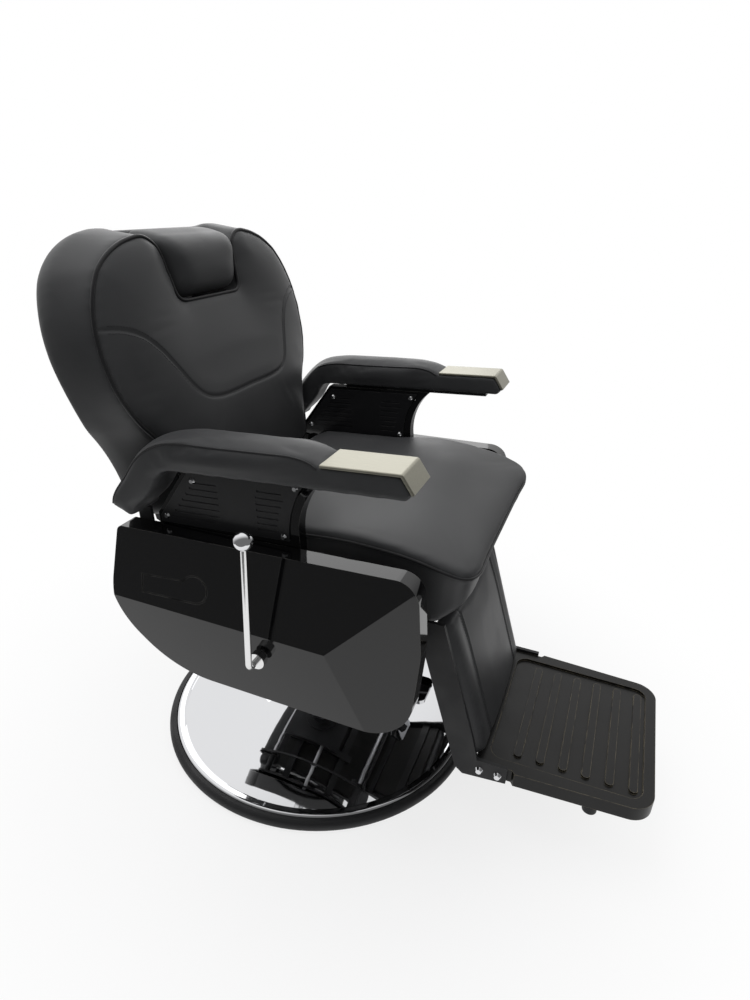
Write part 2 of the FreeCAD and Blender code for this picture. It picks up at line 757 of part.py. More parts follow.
axle_end = f"{side_outer} + 1.5"
node(rod("recline_pin", "X", f"-({axle_end})", axle_end, ("recline_y", "recline_z")), "recline_axle")
node(rod("leg_pin", "X", f"-({axle_end})", axle_end, ("-leg_y", "leg_z")), "legrest_axle")

bar_outer = "bar_inner + bar_thick"
bracket_outer = "bracket_inner + bar_thick"
spacers = []
for sign in SIDES.values():
    for at, pin, inner, outer in (
        (("-leg_y", "leg_z"), "leg_pin", "bar_inner", bar_outer),
        (("recline_y", "recline_z"), "recline_pin", "bracket_inner", bracket_outer),
    ):
        for low, high in ((f"{inner} - 7", f"{inner} - seat_gap"), (f"{outer} + seat_gap", "side_inner")):
            tube = rod(f"{pin} + 5", "X", *span(sign, low, high), at)
            hole = rod(f"{pin} + running_gap", "X", *span(sign, f"{low} - 1", f"{high} + 1"), at)
            spacers.append(cut(tube, [hole]))
node(group(spacers), "axle_spacers")

board_half = "seat_half - 12"
board_front = "-seat_front + 86"
board_z = ("rail_top", "rail_top + board_thick")
seat_board = box((f"-({board_half})", board_half), (board_front, "seat_rear - 5"), board_z)
node(group([seat_board]), "seat_board", SEAT)


def seat_section(y, half, low, side, crown):
    """A cross section of the seat: flat below, drawn-in sides, crowned top."""
    middle = (low + side) / 2
    return [
        (6 - half, y, low),
        (half - 6, y, low),
        Via((half - 9, y, middle)),
        (half, y, side - 12),
        Via((half - 3.5, y, side - 3.5)),
        (half - 12, y, side),
        Via((0, y, side + crown)),
        (12 - half, y, side),
        Via((3.5 - half, y, side - 3.5)),
        (-half, y, side - 12),
        Via((9 - half, y, middle)),
    ]


half, side, crown, skirt = value("seat_half"), value("seat_side"), value("seat_crown"), value("seat_skirt")
front, seat_low = -value("seat_front"), value("rail_top + seat_gap")
seat_sections = [
    seat_section(value("seat_rear"), half - 5, seat_low, side - 13, crown - 6),
    seat_section(value("seat_rear") - 30, half, seat_low, side, crown),
    seat_section(front + 233, half, seat_low, side, crown),
    seat_section(front + 187, half, seat_low, side - 3, crown),
    seat_section(front + 142, half, seat_low, side - 10, crown),
    seat_section(front + 85, half, seat_low, side - 22, crown - 1),
    seat_section(front + 74, half, skirt, side - 24, crown - 1),
    seat_section(front + 50, half - 4, skirt, side - 31, crown - 2),
    seat_section(front + 26, half - 18, skirt + 20, side - 40, crown - 3),
    seat_section(front + 9, half - 39, skirt + 35, side - 46, crown - 4),
    seat_section(front, half - 62, skirt + 45, side - 52, crown - 5),
]
gap = value("seat_gap")
board_room = block(
    (-value(board_half) - gap, value(board_front) - gap, seat_low - 1),
    (value(board_half) + gap, value("seat_rear") + 1, value("rail_top + board_thick") + gap),
)
soft("seat_cushion", seat_sections, SEAT, ruled=True, cuts=[board_room])

# Arms: frame, louvred panels, padded top and metal cap

frame_inner = "panel_inner + panel_thick"
frame_outer = f"{frame_inner} + arm_thick"
panel_outer = f"{frame_outer} + panel_thick"
POST = [("-134", "arm_low"), ("-134", "593"), Via(("-146", "657")), ("-179", "arm_rail")]
PANEL = [
    ("-117", "591"),
    Via(("-125", "645")),
    ("-150", "692"),
    ("58", "692"),
    ("127", "604"),
    ("127", "591"),
]
WINDOW = [
    ("-113", "597"),
    Via(("-123", "648")),
    ("-146", "680"),
    ("54", "680"),
    ("114", "604"),
    ("114", "597"),
]
SCREWS = [("54", "673"), ("-134", "683"), ("115", "603"), ("-107", "597")]
cap_fold = ("-cap_front + 0.57*cap_thick", "cap_top - cap_thick")
cap_lip = ("-cap_nose + 0.86*cap_thick", "cap_top - 28 - 0.52*cap_thick")
LOUVRES = 7
LOUVRE_PITCH = 11
LOUVRE_FIRST = 603
LOUVRE_HEIGHT = 4
LOUVRE_DEPTH = 1.2


def louvre_rows():
    """Two groups of long slots that follow the panel's front curve and slanted rear edge."""
    rows = []
    for k in range(LOUVRES):
        low = LOUVRE_FIRST + k * LOUVRE_PITCH
        high = low + LOUVRE_HEIGHT
        front_edge = -117 - 0.00305 * (high - 588) ** 2
        rear_edge = min(127, 127 - (high - 604) * 69 / 88)
        front_slot = (front_edge + 22, -62) if k < LOUVRES - 1 else (front_edge + 30, -66)
        rear_slot = (8, rear_edge - 20)
        for start, end in (front_slot, rear_slot):
            rows.append([(start, low), (end, low), (end, high), (start, high)])
    return rows


def screw_head(sign, x, y, z, outward):
    """A domed screw head standing on one face of an arm panel."""
    head = doc.addObject("Part::Cone", "screw_head")
    head.Radius1 = 5.5
    head.Radius2 = 3.2
    head.Height = 3
    head.Placement = FreeCAD.Placement(Vector(), FreeCAD.Rotation(Vector(0, sign * outward, 0), 90))
    bind(head, "Placement.Base.x", f"{sign}*({x})")
    bind(head, "Placement.Base.y", y)
    bind(head, "Placement.Base.z", z)
    return head


screw_heads = []
for side, sign in SIDES.items():
    arm = plate(f"arm_frame_{side}", [
        POST + [("62", "arm_rail"), ("134", "606"), ("134", "arm_low")],
        WINDOW,
    ], (frame_inner, frame_outer), sign, SEAT)
    for leg in ("-134", f"{recline_at[0]} - recline_pin - 5 - leg_clear - 30"):
        leg_outline = [
            (leg, "arm_low - 45"),
            (f"{leg} + 30", "arm_low - 45"),
            (f"{leg} + 30", "arm_low"),
            (leg, "arm_low"),
        ]
        add_layer(arm, [leg_outline], (), (frame_inner, "side_inner"), sign)
    rail_outline = [
        ("-cap_front + 20", "arm_rail"),
        ("20", "arm_rail"),
        ("20", "arm_base - seat_gap"),
        ("-cap_front + 20", "arm_base - seat_gap"),
    ]
    add_layer(arm, [rail_outline], (), (f"{frame_inner} + 1", f"{frame_outer} - 1"), sign)

    for name, low, face, out in (
        ("outer", frame_outer, panel_outer, 1),
        ("inner", "panel_inner", "panel_inner", -1),
    ):
        panel = plate(f"arm_panel_{name}_{side}", [PANEL], (low, f"{low} + panel_thick"), sign, SEAT)
        slots = sketch(panel, "YZ_Plane", louvre_rows(), offset=f"{sign}*({face})")
        pocket(panel, slots, str(LOUVRE_DEPTH), back=sign * out < 0)
        screw_heads.extend(screw_head(sign, face, y, z, out) for y, z in SCREWS)

    centre = (value("pad_inner") + value("pad_outer")) / 2
    half = (value("pad_outer") - value("pad_inner")) / 2
    base, top, crown = value("arm_base"), value("pad_top"), value("pad_crown")
    foot = value(pad_foot)
    joint = -value("cap_rear") + gap
    stations = [
        ((joint, base), (joint, value("cap_top") - 1), 1),
        ((joint + 12, base), (joint + 10, top - 5), crown / 2),
        ((joint + 36, base), (joint + 36, top), crown),
        ((joint + 76, base), (joint + 76, top), crown),
        ((joint + 118, base), (joint + 118, top), crown),
        ((joint + 160, base), (joint + 160, top), crown),
        ((joint + 200, base), (joint + 202, top), crown),
        ((joint + 236, base), (joint + 244, top - 1), crown),
        ((72, base - 2), (86, top - 10), crown),
        ((95, base - 21), (124, top - 40), crown),
        ((128, base - 63), (164, top - 87), crown),
        ((150, foot), (184, foot + 17), crown / 2),
    ]
    sections = []
    for under, over, rise in stations:
        up = (over[0] - under[0], over[1] - under[1])
        height = math.hypot(*up)

        def spot(x, share, lift=0.0):
            along = share + lift / height
            return (sign * centre + x, under[0] + along * up[0], under[1] + along * up[1])

        sections.append([
            spot(-half + 1, 0),
            spot(half - 1, 0),
            Via(spot(half, 0.4)),
            spot(half - 1.5, 0.8),
            Via(spot(half - 4, 0.93)),
            spot(half - 11, 1),
            Via(spot(0, 1, rise)),
            spot(11 - half, 1),
            Via(spot(4 - half, 0.93)),
            spot(1.5 - half, 0.8),
            Via(spot(-half, 0.4)),
        ])
    nose = [
        (joint + 2, base),
        (joint + 2, value(cap_fold[1]) - gap),
        (value(cap_fold[0]) + gap, value(cap_fold[1]) - gap),
        (value(cap_lip[0]) + gap, value(cap_lip[1])),
        (value(cap_lip[0]) + 9, base),
    ]
    nose_x = sign * centre - half + 1
    nose_face = Part.Face(wire([(nose_x, y, z) for y, z in nose]))
    nose_block = nose_face.extrude(Vector(2 * half - 2, 0, 0))
    soft(f"arm_pad_{side}", sections, SEAT, adds=[nose_block])

    cap_corners = [
        ("-cap_rear", "cap_top"),
        ("-cap_front", "cap_top"),
        ("-cap_nose", "cap_top - 28"),
        cap_lip,
        cap_fold,
        ("-cap_rear", "cap_top - cap_thick"),
    ]
    cap_x = ("pad_inner + 2", "pad_outer - 1")
    cap = plate(f"arm_cap_{side}", [cap_corners], cap_x, sign, SEAT)
    round_corners(cap, "x", cap_corners[1:2], "6")
    round_corners(cap, "y", [(f"{sign}*({x})", "cap_top") for x in cap_x], "2.5")
node(group(screw_heads), "arm_screws", SEAT)

# Side covers: faceted mouldings with a level ridge

COVER = [
    (("237", "574"), "10"),
    (("-296", "598"), "38"),
    (("-308", "470"), "150"),
    (("-298", "308"), "66"),
    (("135", "312"), "190"),
    (("248", "420"), "140"),
]
FACET_REACH = 250


def moved_in(corners, distance):
    """A polygon with every edge moved inwards by the same distance."""
    points = [Vector(value(y), value(z), 0) for y, z in corners]
    count = len(points)
    moved = []
    for i, point in enumerate(points):
        before = (point - points[i - 1]).normalize()
        after = (points[(i + 1) % count] - point).normalize()
        inward = Vector(-before.y - after.y, before.x + after.x, 0)
        shift = inward * (distance / (1 + before.dot(after)))
        moved.append((str(point.x + shift.x), str(point.y + shift.y)))
    return moved


def cover_form(sign, margin):
    """The faceted block of a side cover, smaller by a margin all round but open inwards."""
    form = blank()
    corners = moved_in([corner for corner, radius in COVER], value(margin))
    top = f"(cover_ridge - {margin})"
    low = "cover_inner" if margin == "0" else "cover_inner - 5"
    add_layer(form, [corners], (), (low, top), sign)
    for corner, (drawn, radius) in zip(corners, COVER):
        round_corners(form, "x", [corner], f"{radius} - {margin}")
    ridge = f"{sign}*{top}"
    for slope, way in (("slope_upper", 1), ("slope_lower", -1)):
        far = f"cover_ridge_z + {way * FACET_REACH}"
        facet = [(ridge, "cover_ridge_z"), (ridge, far), (f"{sign}*({top} - {slope}*{FACET_REACH})", far)]
        pocket(form, sketch(form, "XZ_Plane", [facet]), "1200", middle=True)
    far = f"-cover_joint - {FACET_REACH}"
    facet = [(ridge, "-cover_joint"), (ridge, far), (f"{sign}*({top} - slope_front*{FACET_REACH})", far)]
    pocket(form, sketch(form, "XY_Plane", [facet]), "2400", middle=True)
    return form


def keyhole(margin):
    """A bar that ends in a ring, drawn on the cover's upper facet and smaller by a margin."""
    ring_y, ring_z, ring = 79, 49, 25 - margin
    return [
        (182 - margin, 20 + margin),
        (ring_y - 2, ring_z - ring),
        Via((ring_y - ring, ring_z)),
        (ring_y + 0.9 * ring, ring_z + 0.436 * ring),
        (184 - margin, 54 - margin),
    ]


for side, sign in SIDES.items():
    cover = [cut(cover_form(sign, "0"), [cover_form(sign, "cover_wall")])]
    for boss_y in ("170", "40", "-120"):
        boss_x = span(sign, side_outer, "cover_ridge - cover_wall/2")
        cover.append(rod("10", "X", *boss_x, (boss_y, "cover_ridge_z")))
    cover = fuse(cover)
    if side == "right":
        lever_hole = rod("lever_shaft + 1", "X", "-cover_ridge - 5", "-cover_inner", ("-lever_y", "lever_z"))
        groove = blank()
        add_layer(groove, [keyhole(0), keyhole(2.4)], (), ("-1", "1.2"), 1)
        groove.Placement = FreeCAD.Placement(Vector(), FreeCAD.Rotation(Vector(0, 1, 0), 10))
        bind(groove, "Placement.Base.x", "-cover_ridge")
        bind(groove, "Placement.Base.z", "cover_ridge_z")
        bind(groove, "Placement.Rotation.Angle", "atan(slope_upper)")
        cover = cut(cover, [lever_hole, groove])
    node(cover, f"side_cover_{side}")

# Recline lever with its locking cam

lever_end = "cover_ridge + 3"
node(rod("lever_shaft", "X", f"-({lever_end})", "-rail_x + 7", ("-lever_y", "lever_z")), "lever_shaft")
lever = blank()
bend = "12"
knob_z = "lever_top - lever_z"
spine = lever.newObject("Sketcher::SketchObject", "spine")
spine.AttachmentSupport = [(plane(lever, "XZ_Plane"), "")]
spine.MapMode = "FlatFace"
out, start, turn = value("lever_out"), value(lever_end), value(bend)
rod_top = value(f"{knob_z} - knob_radius/2")
spine.addGeometry(Part.LineSegment(Vector(-start, 0, 0), Vector(turn - out, 0, 0)))
corner = Vector(turn - out - turn * math.sin(math.pi / 4), turn - turn * math.cos(math.pi / 4), 0)
spine.addGeometry(Part.Arc(Vector(turn - out, 0, 0), corner, Vector(-out, turn, 0)))
spine.addGeometry(Part.LineSegment(Vector(-out, turn, 0), Vector(-out, rod_top, 0)))
section = sketch(lever, "YZ_Plane", [], [("0", "0", "lever_rod")], offset=f"-({lever_end})")
pipe = lever.newObject("PartDesign::AdditivePipe", "bent_rod")
pipe.Profile = section
pipe.Spine = (spine, ["Edge1", "Edge2", "Edge3"])
hub = rod("lever_rod + 9", "X", f"-({lever_end}) - 13", f"-({lever_end})")
node(fuse([lever, hub]), "lever_rod", LEVER)
ball = doc.addObject("Part::Sphere", "ball")
bind(ball, "Radius", "knob_radius")
bind(ball, "Placement.Base.x", "-lever_out")
bind(ball, "Placement.Base.z", knob_z)
socket = rod("lever_rod + running_gap", "Z", "0", f"{knob_z} - knob_radius/2", ("-lever_out", "0"))
node(cut(ball, [socket]), "lever_knob", LEVER)
cam_x = ("-link_inner - link_thick - 1", "-link_inner + 1")
cam = rod("cam_gap - seat_gap - 1", "X", *cam_x, ("0", "-1"))
node(cut(cam, [rod("lever_shaft", "X", "-link_inner - 40", "-link_inner + 40")]), "lock_cam", LEVER)

# Back: brackets, tubes, board, rear panel, cushion and headrest guide

link_y = "link_arm*sin(link_lag)"
link_z = "link_arm*cos(link_lag)"
hub_at = in_frame(BACK, "recline_y", "recline_z")
lug_at = in_frame(BACK, f"recline_y + {link_y}", f"recline_z - {link_z}")
behind = "back_depth + board_thick"
back_frame = []
bracket_x = ("bracket_inner", bracket_outer)
for sign in SIDES.values():
    bracket = blank()
    neck = [
        (f"{behind} + seat_gap", "-60"),
        (f"{behind} + 26", "-60"),
        (f"{behind} + 26", "-back_low - 16"),
        (f"{hub_at[0]} + 16", f"{hub_at[1]} - 18"),
        (f"{hub_at[0]} - 14", f"{hub_at[1]} + 14"),
        (f"{hub_at[0]} + 12", f"{hub_at[1]} + 26"),
        (f"{behind} + seat_gap", "-back_low - 8"),
    ]
    strap = [
        (f"{hub_at[0]} - 10", f"{hub_at[1]} - 14"),
        (f"{lug_at[0]} - 10", f"{lug_at[1]} - 8"),
        (f"{lug_at[0]} + 10", f"{lug_at[1]} + 8"),
        (f"{hub_at[0]} + 16", f"{hub_at[1]} + 10"),
    ]
    add_layer(bracket, [neck], (), bracket_x, sign)
    add_layer(bracket, [strap], (), bracket_x, sign)
    add_layer(bracket, [], [(*hub_at, "24")], bracket_x, sign)
    add_layer(bracket, [], [(*lug_at, "14")], bracket_x, sign)
    pin_holes = [(*hub_at, "recline_pin + running_gap"), (*lug_at, "link_pin + running_gap")]
    drill(bracket, pin_holes, bracket_x, sign)
    back_frame.append(bracket)
for tube_s in ("-90", "-270"):
    back_frame.append(rod("10", "X", "-bracket_inner - 4", "bracket_inner + 4", (f"{behind} + 14", tube_s)))
node(fuse(back_frame), "back_frame", BACK)

half, waist, low = value("back_half"), value("back_waist"), -value("back_low")
notch, notch_low, lobe = value("notch_half"), value("notch_low"), value("lobe_top")
LOWER_HALF = [
    (waist - 46, low),
    Via((waist - 20, low + 10)),
    (waist - 7, low + 35),
    (waist, low + 79),
    Via((waist + 14, low + 128)),
    (half - 50, low + 164),
]
FRONT_HALF = LOWER_HALF + [
    Via((half - 13, low + 222)),
    (half, low + 289),
    Via((half - 11, lobe - 106)),
    (half - 50, lobe - 43),
    Via((half - 106, lobe - 12)),
    (half - 168, lobe),
    Via((notch + 32, lobe - 15)),
    (notch + 21, lobe - 39),
    (notch + 13, notch_low + 22),
    Via((notch + 9, notch_low + 5)),
    (notch, notch_low),
]
rear_top = value("back_top")
REAR_HALF = LOWER_HALF + [
    Via((half - 14, low + 222)),
    (half - 2, low + 284),
    Via((half - 15, rear_top - 128)),
    (half - 56, rear_top - 65),
    Via((half - 118, rear_top - 25)),
    (half - 199, rear_top),
]


def mirrored(right_half):
    """The whole closed outline from its right-hand half."""
    left_half = []
    for point in reversed(right_half):
        flipped = (-point[0], point[1])
        left_half.append(Via(flipped) if isinstance(point, Via) else flipped)
    return right_half + left_half


FRONT = mirrored(FRONT_HALF)
REAR = mirrored(REAR_HALF)
depth, shell = value("back_depth"), value("shell_depth")
board = value("board_thick")
crown = value("back_crown")


def slab(outline, near, far):
    """A flat board of one outline between two depths."""
    face = Part.Face(wire(upright(outline, near)))
    return face.extrude(Vector(0, far - near, 0))


back_board = doc.addObject("Part::Feature", "back_board")
back_board.Shape = slab(inset(REAR, 14), depth, depth + board)
node(back_board, "back_board", BACK)

guide_half = value("slide_half") + 5
guide_front = value("head_plate") - 5
guide_low, guide_top = -175, notch_low - 10
guide_room = block(
    (-guide_half - gap, guide_front - gap, guide_low - gap),
    (guide_half + gap, depth + 1, notch_low + 1),
)
back_layers = (
    (gap, 5),
    (14, 1.5),
    (42, 4),
    (70, 0.5),
    (depth, 0),
    (depth + 0.35 * crown, 4),
    (depth + 0.6 * crown, 12),
    (depth + 0.8 * crown, 25),
    (depth + 0.93 * crown, 45),
    (depth + crown, 75),
)
back_sections = [upright(inset(FRONT, inward), depth - rise) for rise, inward in back_layers]
soft("back_cushion", back_sections, BACK, ruled=True, cuts=[guide_room])

shell_layers = ((depth, 1), (depth + 14, 2), (shell - 16, 6), (shell - 6, 16), (shell, 40))
shell_sections = [upright(inset(REAR, inward), place) for place, inward in shell_layers]
bracket_half = value(bracket_outer) + 2
shell_cuts = [
    slab(inset(REAR, 14 - gap), depth - 1, depth + board + gap),
    block((-bracket_half, depth + board, low - 20), (bracket_half, value(behind) + 28, -55)),
]
soft("back_shell", shell_sections, BACK, ruled=True, cuts=shell_cuts)

slide_fit = "slide_half + seat_gap"
slide_room = ("head_plate - seat_gap", "head_plate + 8 + seat_gap")
guide = box((f"-{guide_half}", guide_half), (guide_front, "back_depth"), (guide_low, guide_top))
guide_bore = box((f"-({slide_fit})", slide_fit), slide_room, ("-400", "200"))
node(cut(guide, [guide_bore]), "headrest_guide", BACK)

# Headrest: pillow on a plate with a flat slide

head_half, head_low_s, head_top = value("head_half"), value("head_low"), value("head_top")


def pillow_section(place, inward, up, down):
    """The pillow's outline at one depth, drawn in from its sides, foot and top."""
    low, top = head_low_s + up, head_top - down
    bend = min(20, 0.35 * (top - low))
    foot, brow = head_half + 1 - inward, head_half + 17 - inward
    return upright(mirrored([
        (foot - bend, low),
        Via((foot - 0.25 * bend, low + 0.3 * bend)),
        (foot + 0.1 * bend, low + bend),
        (brow, top - bend),
        Via((brow - 0.3 * bend, top - 0.3 * bend)),
        (brow - bend, top),
    ]), place)


plate_half, plate_low, plate_top = 70, head_low_s + 8, head_low_s + 97
plate_front = value("head_plate") - 11
plate_room = block(
    (-plate_half - gap, plate_front - gap, plate_low - 60),
    (plate_half + gap, depth, plate_top + gap),
)
pillow_layers = (
    (depth - 2, 8, 3, 0),
    (60, 3, 1, -1),
    (40, 0, 0, 0),
    (20, 0, 1, 5),
    (2, 2, 5, 14),
    (-10, 8, 13, 26),
    (-17, 18, 24, 39),
    (-20, 32, 35, 51),
)
pillow_sections = [pillow_section(*layer) for layer in pillow_layers]
soft("headrest_pillow", pillow_sections, BACK, ruled=True, cuts=[plate_room])
slide_z = ("-150", f"{plate_low} + 40")
head_plate = box((f"-{plate_half}", plate_half), (plate_front, "head_plate"), (plate_low, plate_top))
head_slide = box(("-slide_half", "slide_half"), ("head_plate", "head_plate + 8"), slide_z)
node(fuse([head_plate, head_slide]), "headrest_slide", BACK)

# Legrest: bars, cross bars, board, pad and footplate

lug = (link_y, f"-{link_z}")
for side, sign in SIDES.items():
    bar_x = ("bar_inner", bar_outer)
    bar = plate(f"legrest_bar_{side}", [[
        ("-6", "40"),
        ("-26", "52"),
        ("-54", "52"),
        ("-128", "-172"),
        ("-141", "foot_top + 6 - leg_z"),
        ("-197", "foot_top + 6 - leg_z"),
        ("-197", "foot_top - foot_depth - leg_z"),
        ("-117", "foot_top - foot_depth - 8 - leg_z"),
        ("-102", "foot_top - foot_depth + 4 - leg_z"),
    ]], bar_x, sign, LEG)
    strap = [
        ("-16", "-12"),
        (f"{lug[0]} - 10", f"{lug[1]} - 4"),
        (f"{lug[0]} + 12", f"{lug[1]} + 4"),
        ("16", "-6"),
    ]
    add_layer(bar, [strap], (), bar_x, sign)
    add_layer(bar, [[("-10", "16"), ("-40", "20"), ("-50", "-20"), ("-12", "-16")]], (), bar_x, sign)
    add_layer(bar, [], [("0", "0", "22")], bar_x, sign)
    add_layer(bar, [], [(*lug, "14")], bar_x, sign)
    drill(bar, [("0", "0", "leg_pin + running_gap"), (*lug, "link_pin + running_gap")], bar_x, sign)

leg_board_front = "pad_thick + seat_gap"
leg_board_back = f"{leg_board_front} + 8"
leg_board_z = ("14", "pad_length - 20")
leg_board = box(("-pad_half + 8", "pad_half - 8"), (leg_board_front, leg_board_back), leg_board_z)
node(group([leg_board]), "legrest_board", LEGPAD)
cross_bars = []
for low_z in ("50", "pad_length - 90"):
    cross_depth = (leg_board_back, f"{leg_board_back} + 5")
    cross_bars.append(box(("-bar_inner", "bar_inner"), cross_depth, (low_z, f"{low_z} + 30")))
node(group(cross_bars), "legrest_cross_bars", LEGPAD)

half, seam, thick, length = value("pad_half"), value("pad_seam"), value("pad_thick"), value("pad_length")


def leg_section(z, edge, front):
    """A cross section of the legrest pad: three swollen panels between two sewn channels."""
    lobe_x = (edge + seam) / 2
    return [
        (-edge, thick, z),
        (edge, thick, z),
        (edge, front + 12, z),
        Via((edge - 4, front + 3, z)),
        (edge - 12, front, z),
        Via((lobe_x - 6, front - 3, z)),
        (seam, front + 4, z),
        Via((0, front - 9, z)),
        (-seam, front + 4, z),
        Via((6 - lobe_x, front - 3, z)),
        (12 - edge, front, z),
        Via((4 - edge, front + 3, z)),
        (-edge, front + 12, z),
    ]


leg_sections = [
    leg_section(0, half - 9, 8),
    leg_section(4, half - 4, 3),
    leg_section(14, half, 0),
    leg_section(length / 2, half, -1),
    leg_section(length - 16, half, 0),
    leg_section(length - 5, half - 4, 4),
    leg_section(length, half - 9, 10),
]
soft("legrest_pad", leg_sections, LEGPAD, ruled=True)

foot = body("footplate")
rear_half = "bar_inner - seat_gap"
notch_y = "-foot_rear - 68"
foot_outline = [
    (rear_half, "-foot_rear"),
    (rear_half, notch_y),
    ("foot_half", f"{notch_y} - 5"),
    ("foot_nose", "-foot_front"),
    ("-foot_nose", "-foot_front"),
    ("-foot_half", f"{notch_y} - 5"),
    (f"-({rear_half})", notch_y),
    (f"-({rear_half})", "-foot_rear"),
]
pad(foot, sketch(foot, "XY_Plane", [foot_outline], offset="foot_top - foot_depth"), "foot_depth")
round_corners(foot, "z", [("foot_nose", "-foot_front"), ("-foot_nose", "-foot_front")], "foot_bend")


def foot_inset(margin):
    """The footplate's outline less an even margin, without the rear notches."""
    side_x = f"{rear_half} - ({margin})"
    nose_x = f"foot_nose - ({margin})"
    return [
        (side_x, f"-foot_rear - ({margin})"),
        (nose_x, f"-foot_front + ({margin})"),
        (f"-({nose_x})", f"-foot_front + ({margin})"),
        (f"-({side_x})", f"-foot_rear - ({margin})"),
    ]


pocket(foot, sketch(foot, "XY_Plane", [foot_inset("foot_border")], offset="foot_top"), "foot_sink")
round_corners(foot, "z", foot_inset("foot_border"), "24")
under_half, under_nose = f"{rear_half} - foot_sheet", "(foot_nose - foot_sheet)"
under_front, under_bend = "(-foot_front + foot_sheet)", "(foot_bend - foot_sheet)"
under_right = [
    (under_half, "-foot_rear - foot_sheet"),
    (under_nose, f"{under_front} + {under_bend}"),
    Via((f"{under_nose} - 0.293*{under_bend}", f"{under_front} + 0.293*{under_bend}")),
    (f"{under_nose} - {under_bend}", under_front),
]
under_left = []
for point in reversed(under_right):
    flipped = (f"-({point[0]})", point[1])
    under_left.append(Via(flipped) if isinstance(point, Via) else flipped)
under = sketch(foot, "XY_Plane", [under_right + under_left], offset="foot_top - foot_depth")
pocket(foot, under, "foot_depth - foot_sink - foot_sheet", back=True)
rib_end = "rib_half - rib_width/2"
rib_low, rib_high = "-rib_first - rib_width/2", "-rib_first + rib_width/2"
rib_outline = [
    (f"-({rib_end})", rib_low),
    (rib_end, rib_low),
    Via(("rib_half", "-rib_first")),
    (rib_end, rib_high),
    (f"-({rib_end})", rib_high),
    Via(("-rib_half", "-rib_first")),
]
rib = pad(foot, sketch(foot, "XY_Plane", [rib_outline], offset="foot_top - foot_sink"), "foot_sink - 1")
rib_row = foot.newObject("PartDesign::LinearPattern", "ribs")
rib_row.Originals = [rib]
rib_row.Direction = (plane(foot, "Y_Axis"), [""])
rib_row.Reversed = True
bind(rib_row, "Occurrences", "rib_count")
bind(rib_row, "Length", "rib_pitch*(rib_count - 1)")
foot.Tip = rib_row

plate_bolts = []
for sign in SIDES.values():
    for bolt_y in ("-foot_rear - 10", "-foot_rear - 44"):
        head = doc.addObject("Part::Cone", "bolt_head")
        head.Radius1 = 8
        head.Radius2 = 5
        head.Height = 5
        head.Placement = FreeCAD.Placement(Vector(), FreeCAD.Rotation(Vector(0, sign, 0), 90))
        bind(head, "Placement.Base.x", f"{sign}*({bar_outer})")
        bind(head, "Placement.Base.y", bolt_y)
        bind(head, "Placement.Base.z", "foot_top - 16")
        plate_bolts.append(head)
node(group(plate_bolts), "footplate_bolts")
tread_under = "foot_top - foot_sink - foot_sheet"
bumpers = [rod("13", "Z", "115", tread_under, (f"{sign}*157", "-602")) for sign in SIDES.values()]
node(group(bumpers), "footplate_bumpers")

# Links that turn the legrest with the back

link_angle = "atan2(recline_z - leg_z; recline_y + leg_y)"
link_length = "sqrt((recline_z - leg_z)^2 + (recline_y + leg_y)^2)"
LINK = (f"-leg_y + {link_y}", f"leg_z - {link_z}", f"-{link_angle}")
edge = "link_height/2"
cam_y, cam_z = "(leg_y - lever_y)", "(lever_z - leg_z)"
path_y = f"({cam_y}*cos({link_angle}) + {cam_z}*sin({link_angle}))"
path_z = f"({cam_z}*cos({link_angle}) - {cam_y}*sin({link_angle}))"
lock_radius = "(link_arm - cam_gap)"


def on_lock_rail(degrees):
    """A point of the curved rail that keeps its distance from the cam through the whole travel."""
    return (f"{path_y} + {lock_radius}*sin({degrees})", f"{path_z} + {lock_radius}*cos({degrees})")


PLAIN_EDGE = [(link_length, edge), ("0", edge)]
LOCK_EDGE = [
    (link_length, edge),
    (f"{path_y} + 86", edge),
    (f"{path_y} + 64", "0"),
    on_lock_rail(52),
    Via(on_lock_rail(18)),
    on_lock_rail(-15),
    (f"{path_y} - 44", edge),
    ("0", edge),
]
for side, sign in SIDES.items():
    upper = LOCK_EDGE if side == "right" else PLAIN_EDGE
    outline = [("0", f"-{edge}"), (link_length, f"-{edge}"), Via((f"{link_length} + {edge}", "0"))]
    outline += upper + [Via((f"-{edge}", "0"))]
    link = plate(f"link_bar_{side}", [outline], ("link_inner", "link_inner + link_thick"), sign, LINK)
    add_layer(link, [], [("0", "0", "link_pin")], ("bar_inner - 4", "link_inner + 1"), sign)
    add_layer(link, [], [(link_length, "0", "link_pin")], ("link_inner + 1", f"{bracket_outer} + 4"), sign)

# Check and write

doc.recompute()
failed = [obj.Name for obj in doc.Objects if "Invalid" in obj.State or "Error" in obj.State]
failed += [obj.Label for obj in NODES if obj.Shape.isNull() or not obj.Shape.isValid()]
if failed:
    raise RuntimeError(f"not built: {failed}")
os.makedirs("parts", exist_ok=True)
for obj in NODES:
    obj.Shape.exportStep(f"parts/{obj.Label}.step")
print(len(NODES), "sub-parts written")
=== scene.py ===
"""Barber chair: upholstery, finishes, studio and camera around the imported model.

The scene is in metres. The upholstery is drawn in millimetres, in leaning frames of its own.
"""
import json
import math
import bpy
import numpy as np
from mathutils import Matrix, Vector
from mathutils.bvhtree import BVHTree


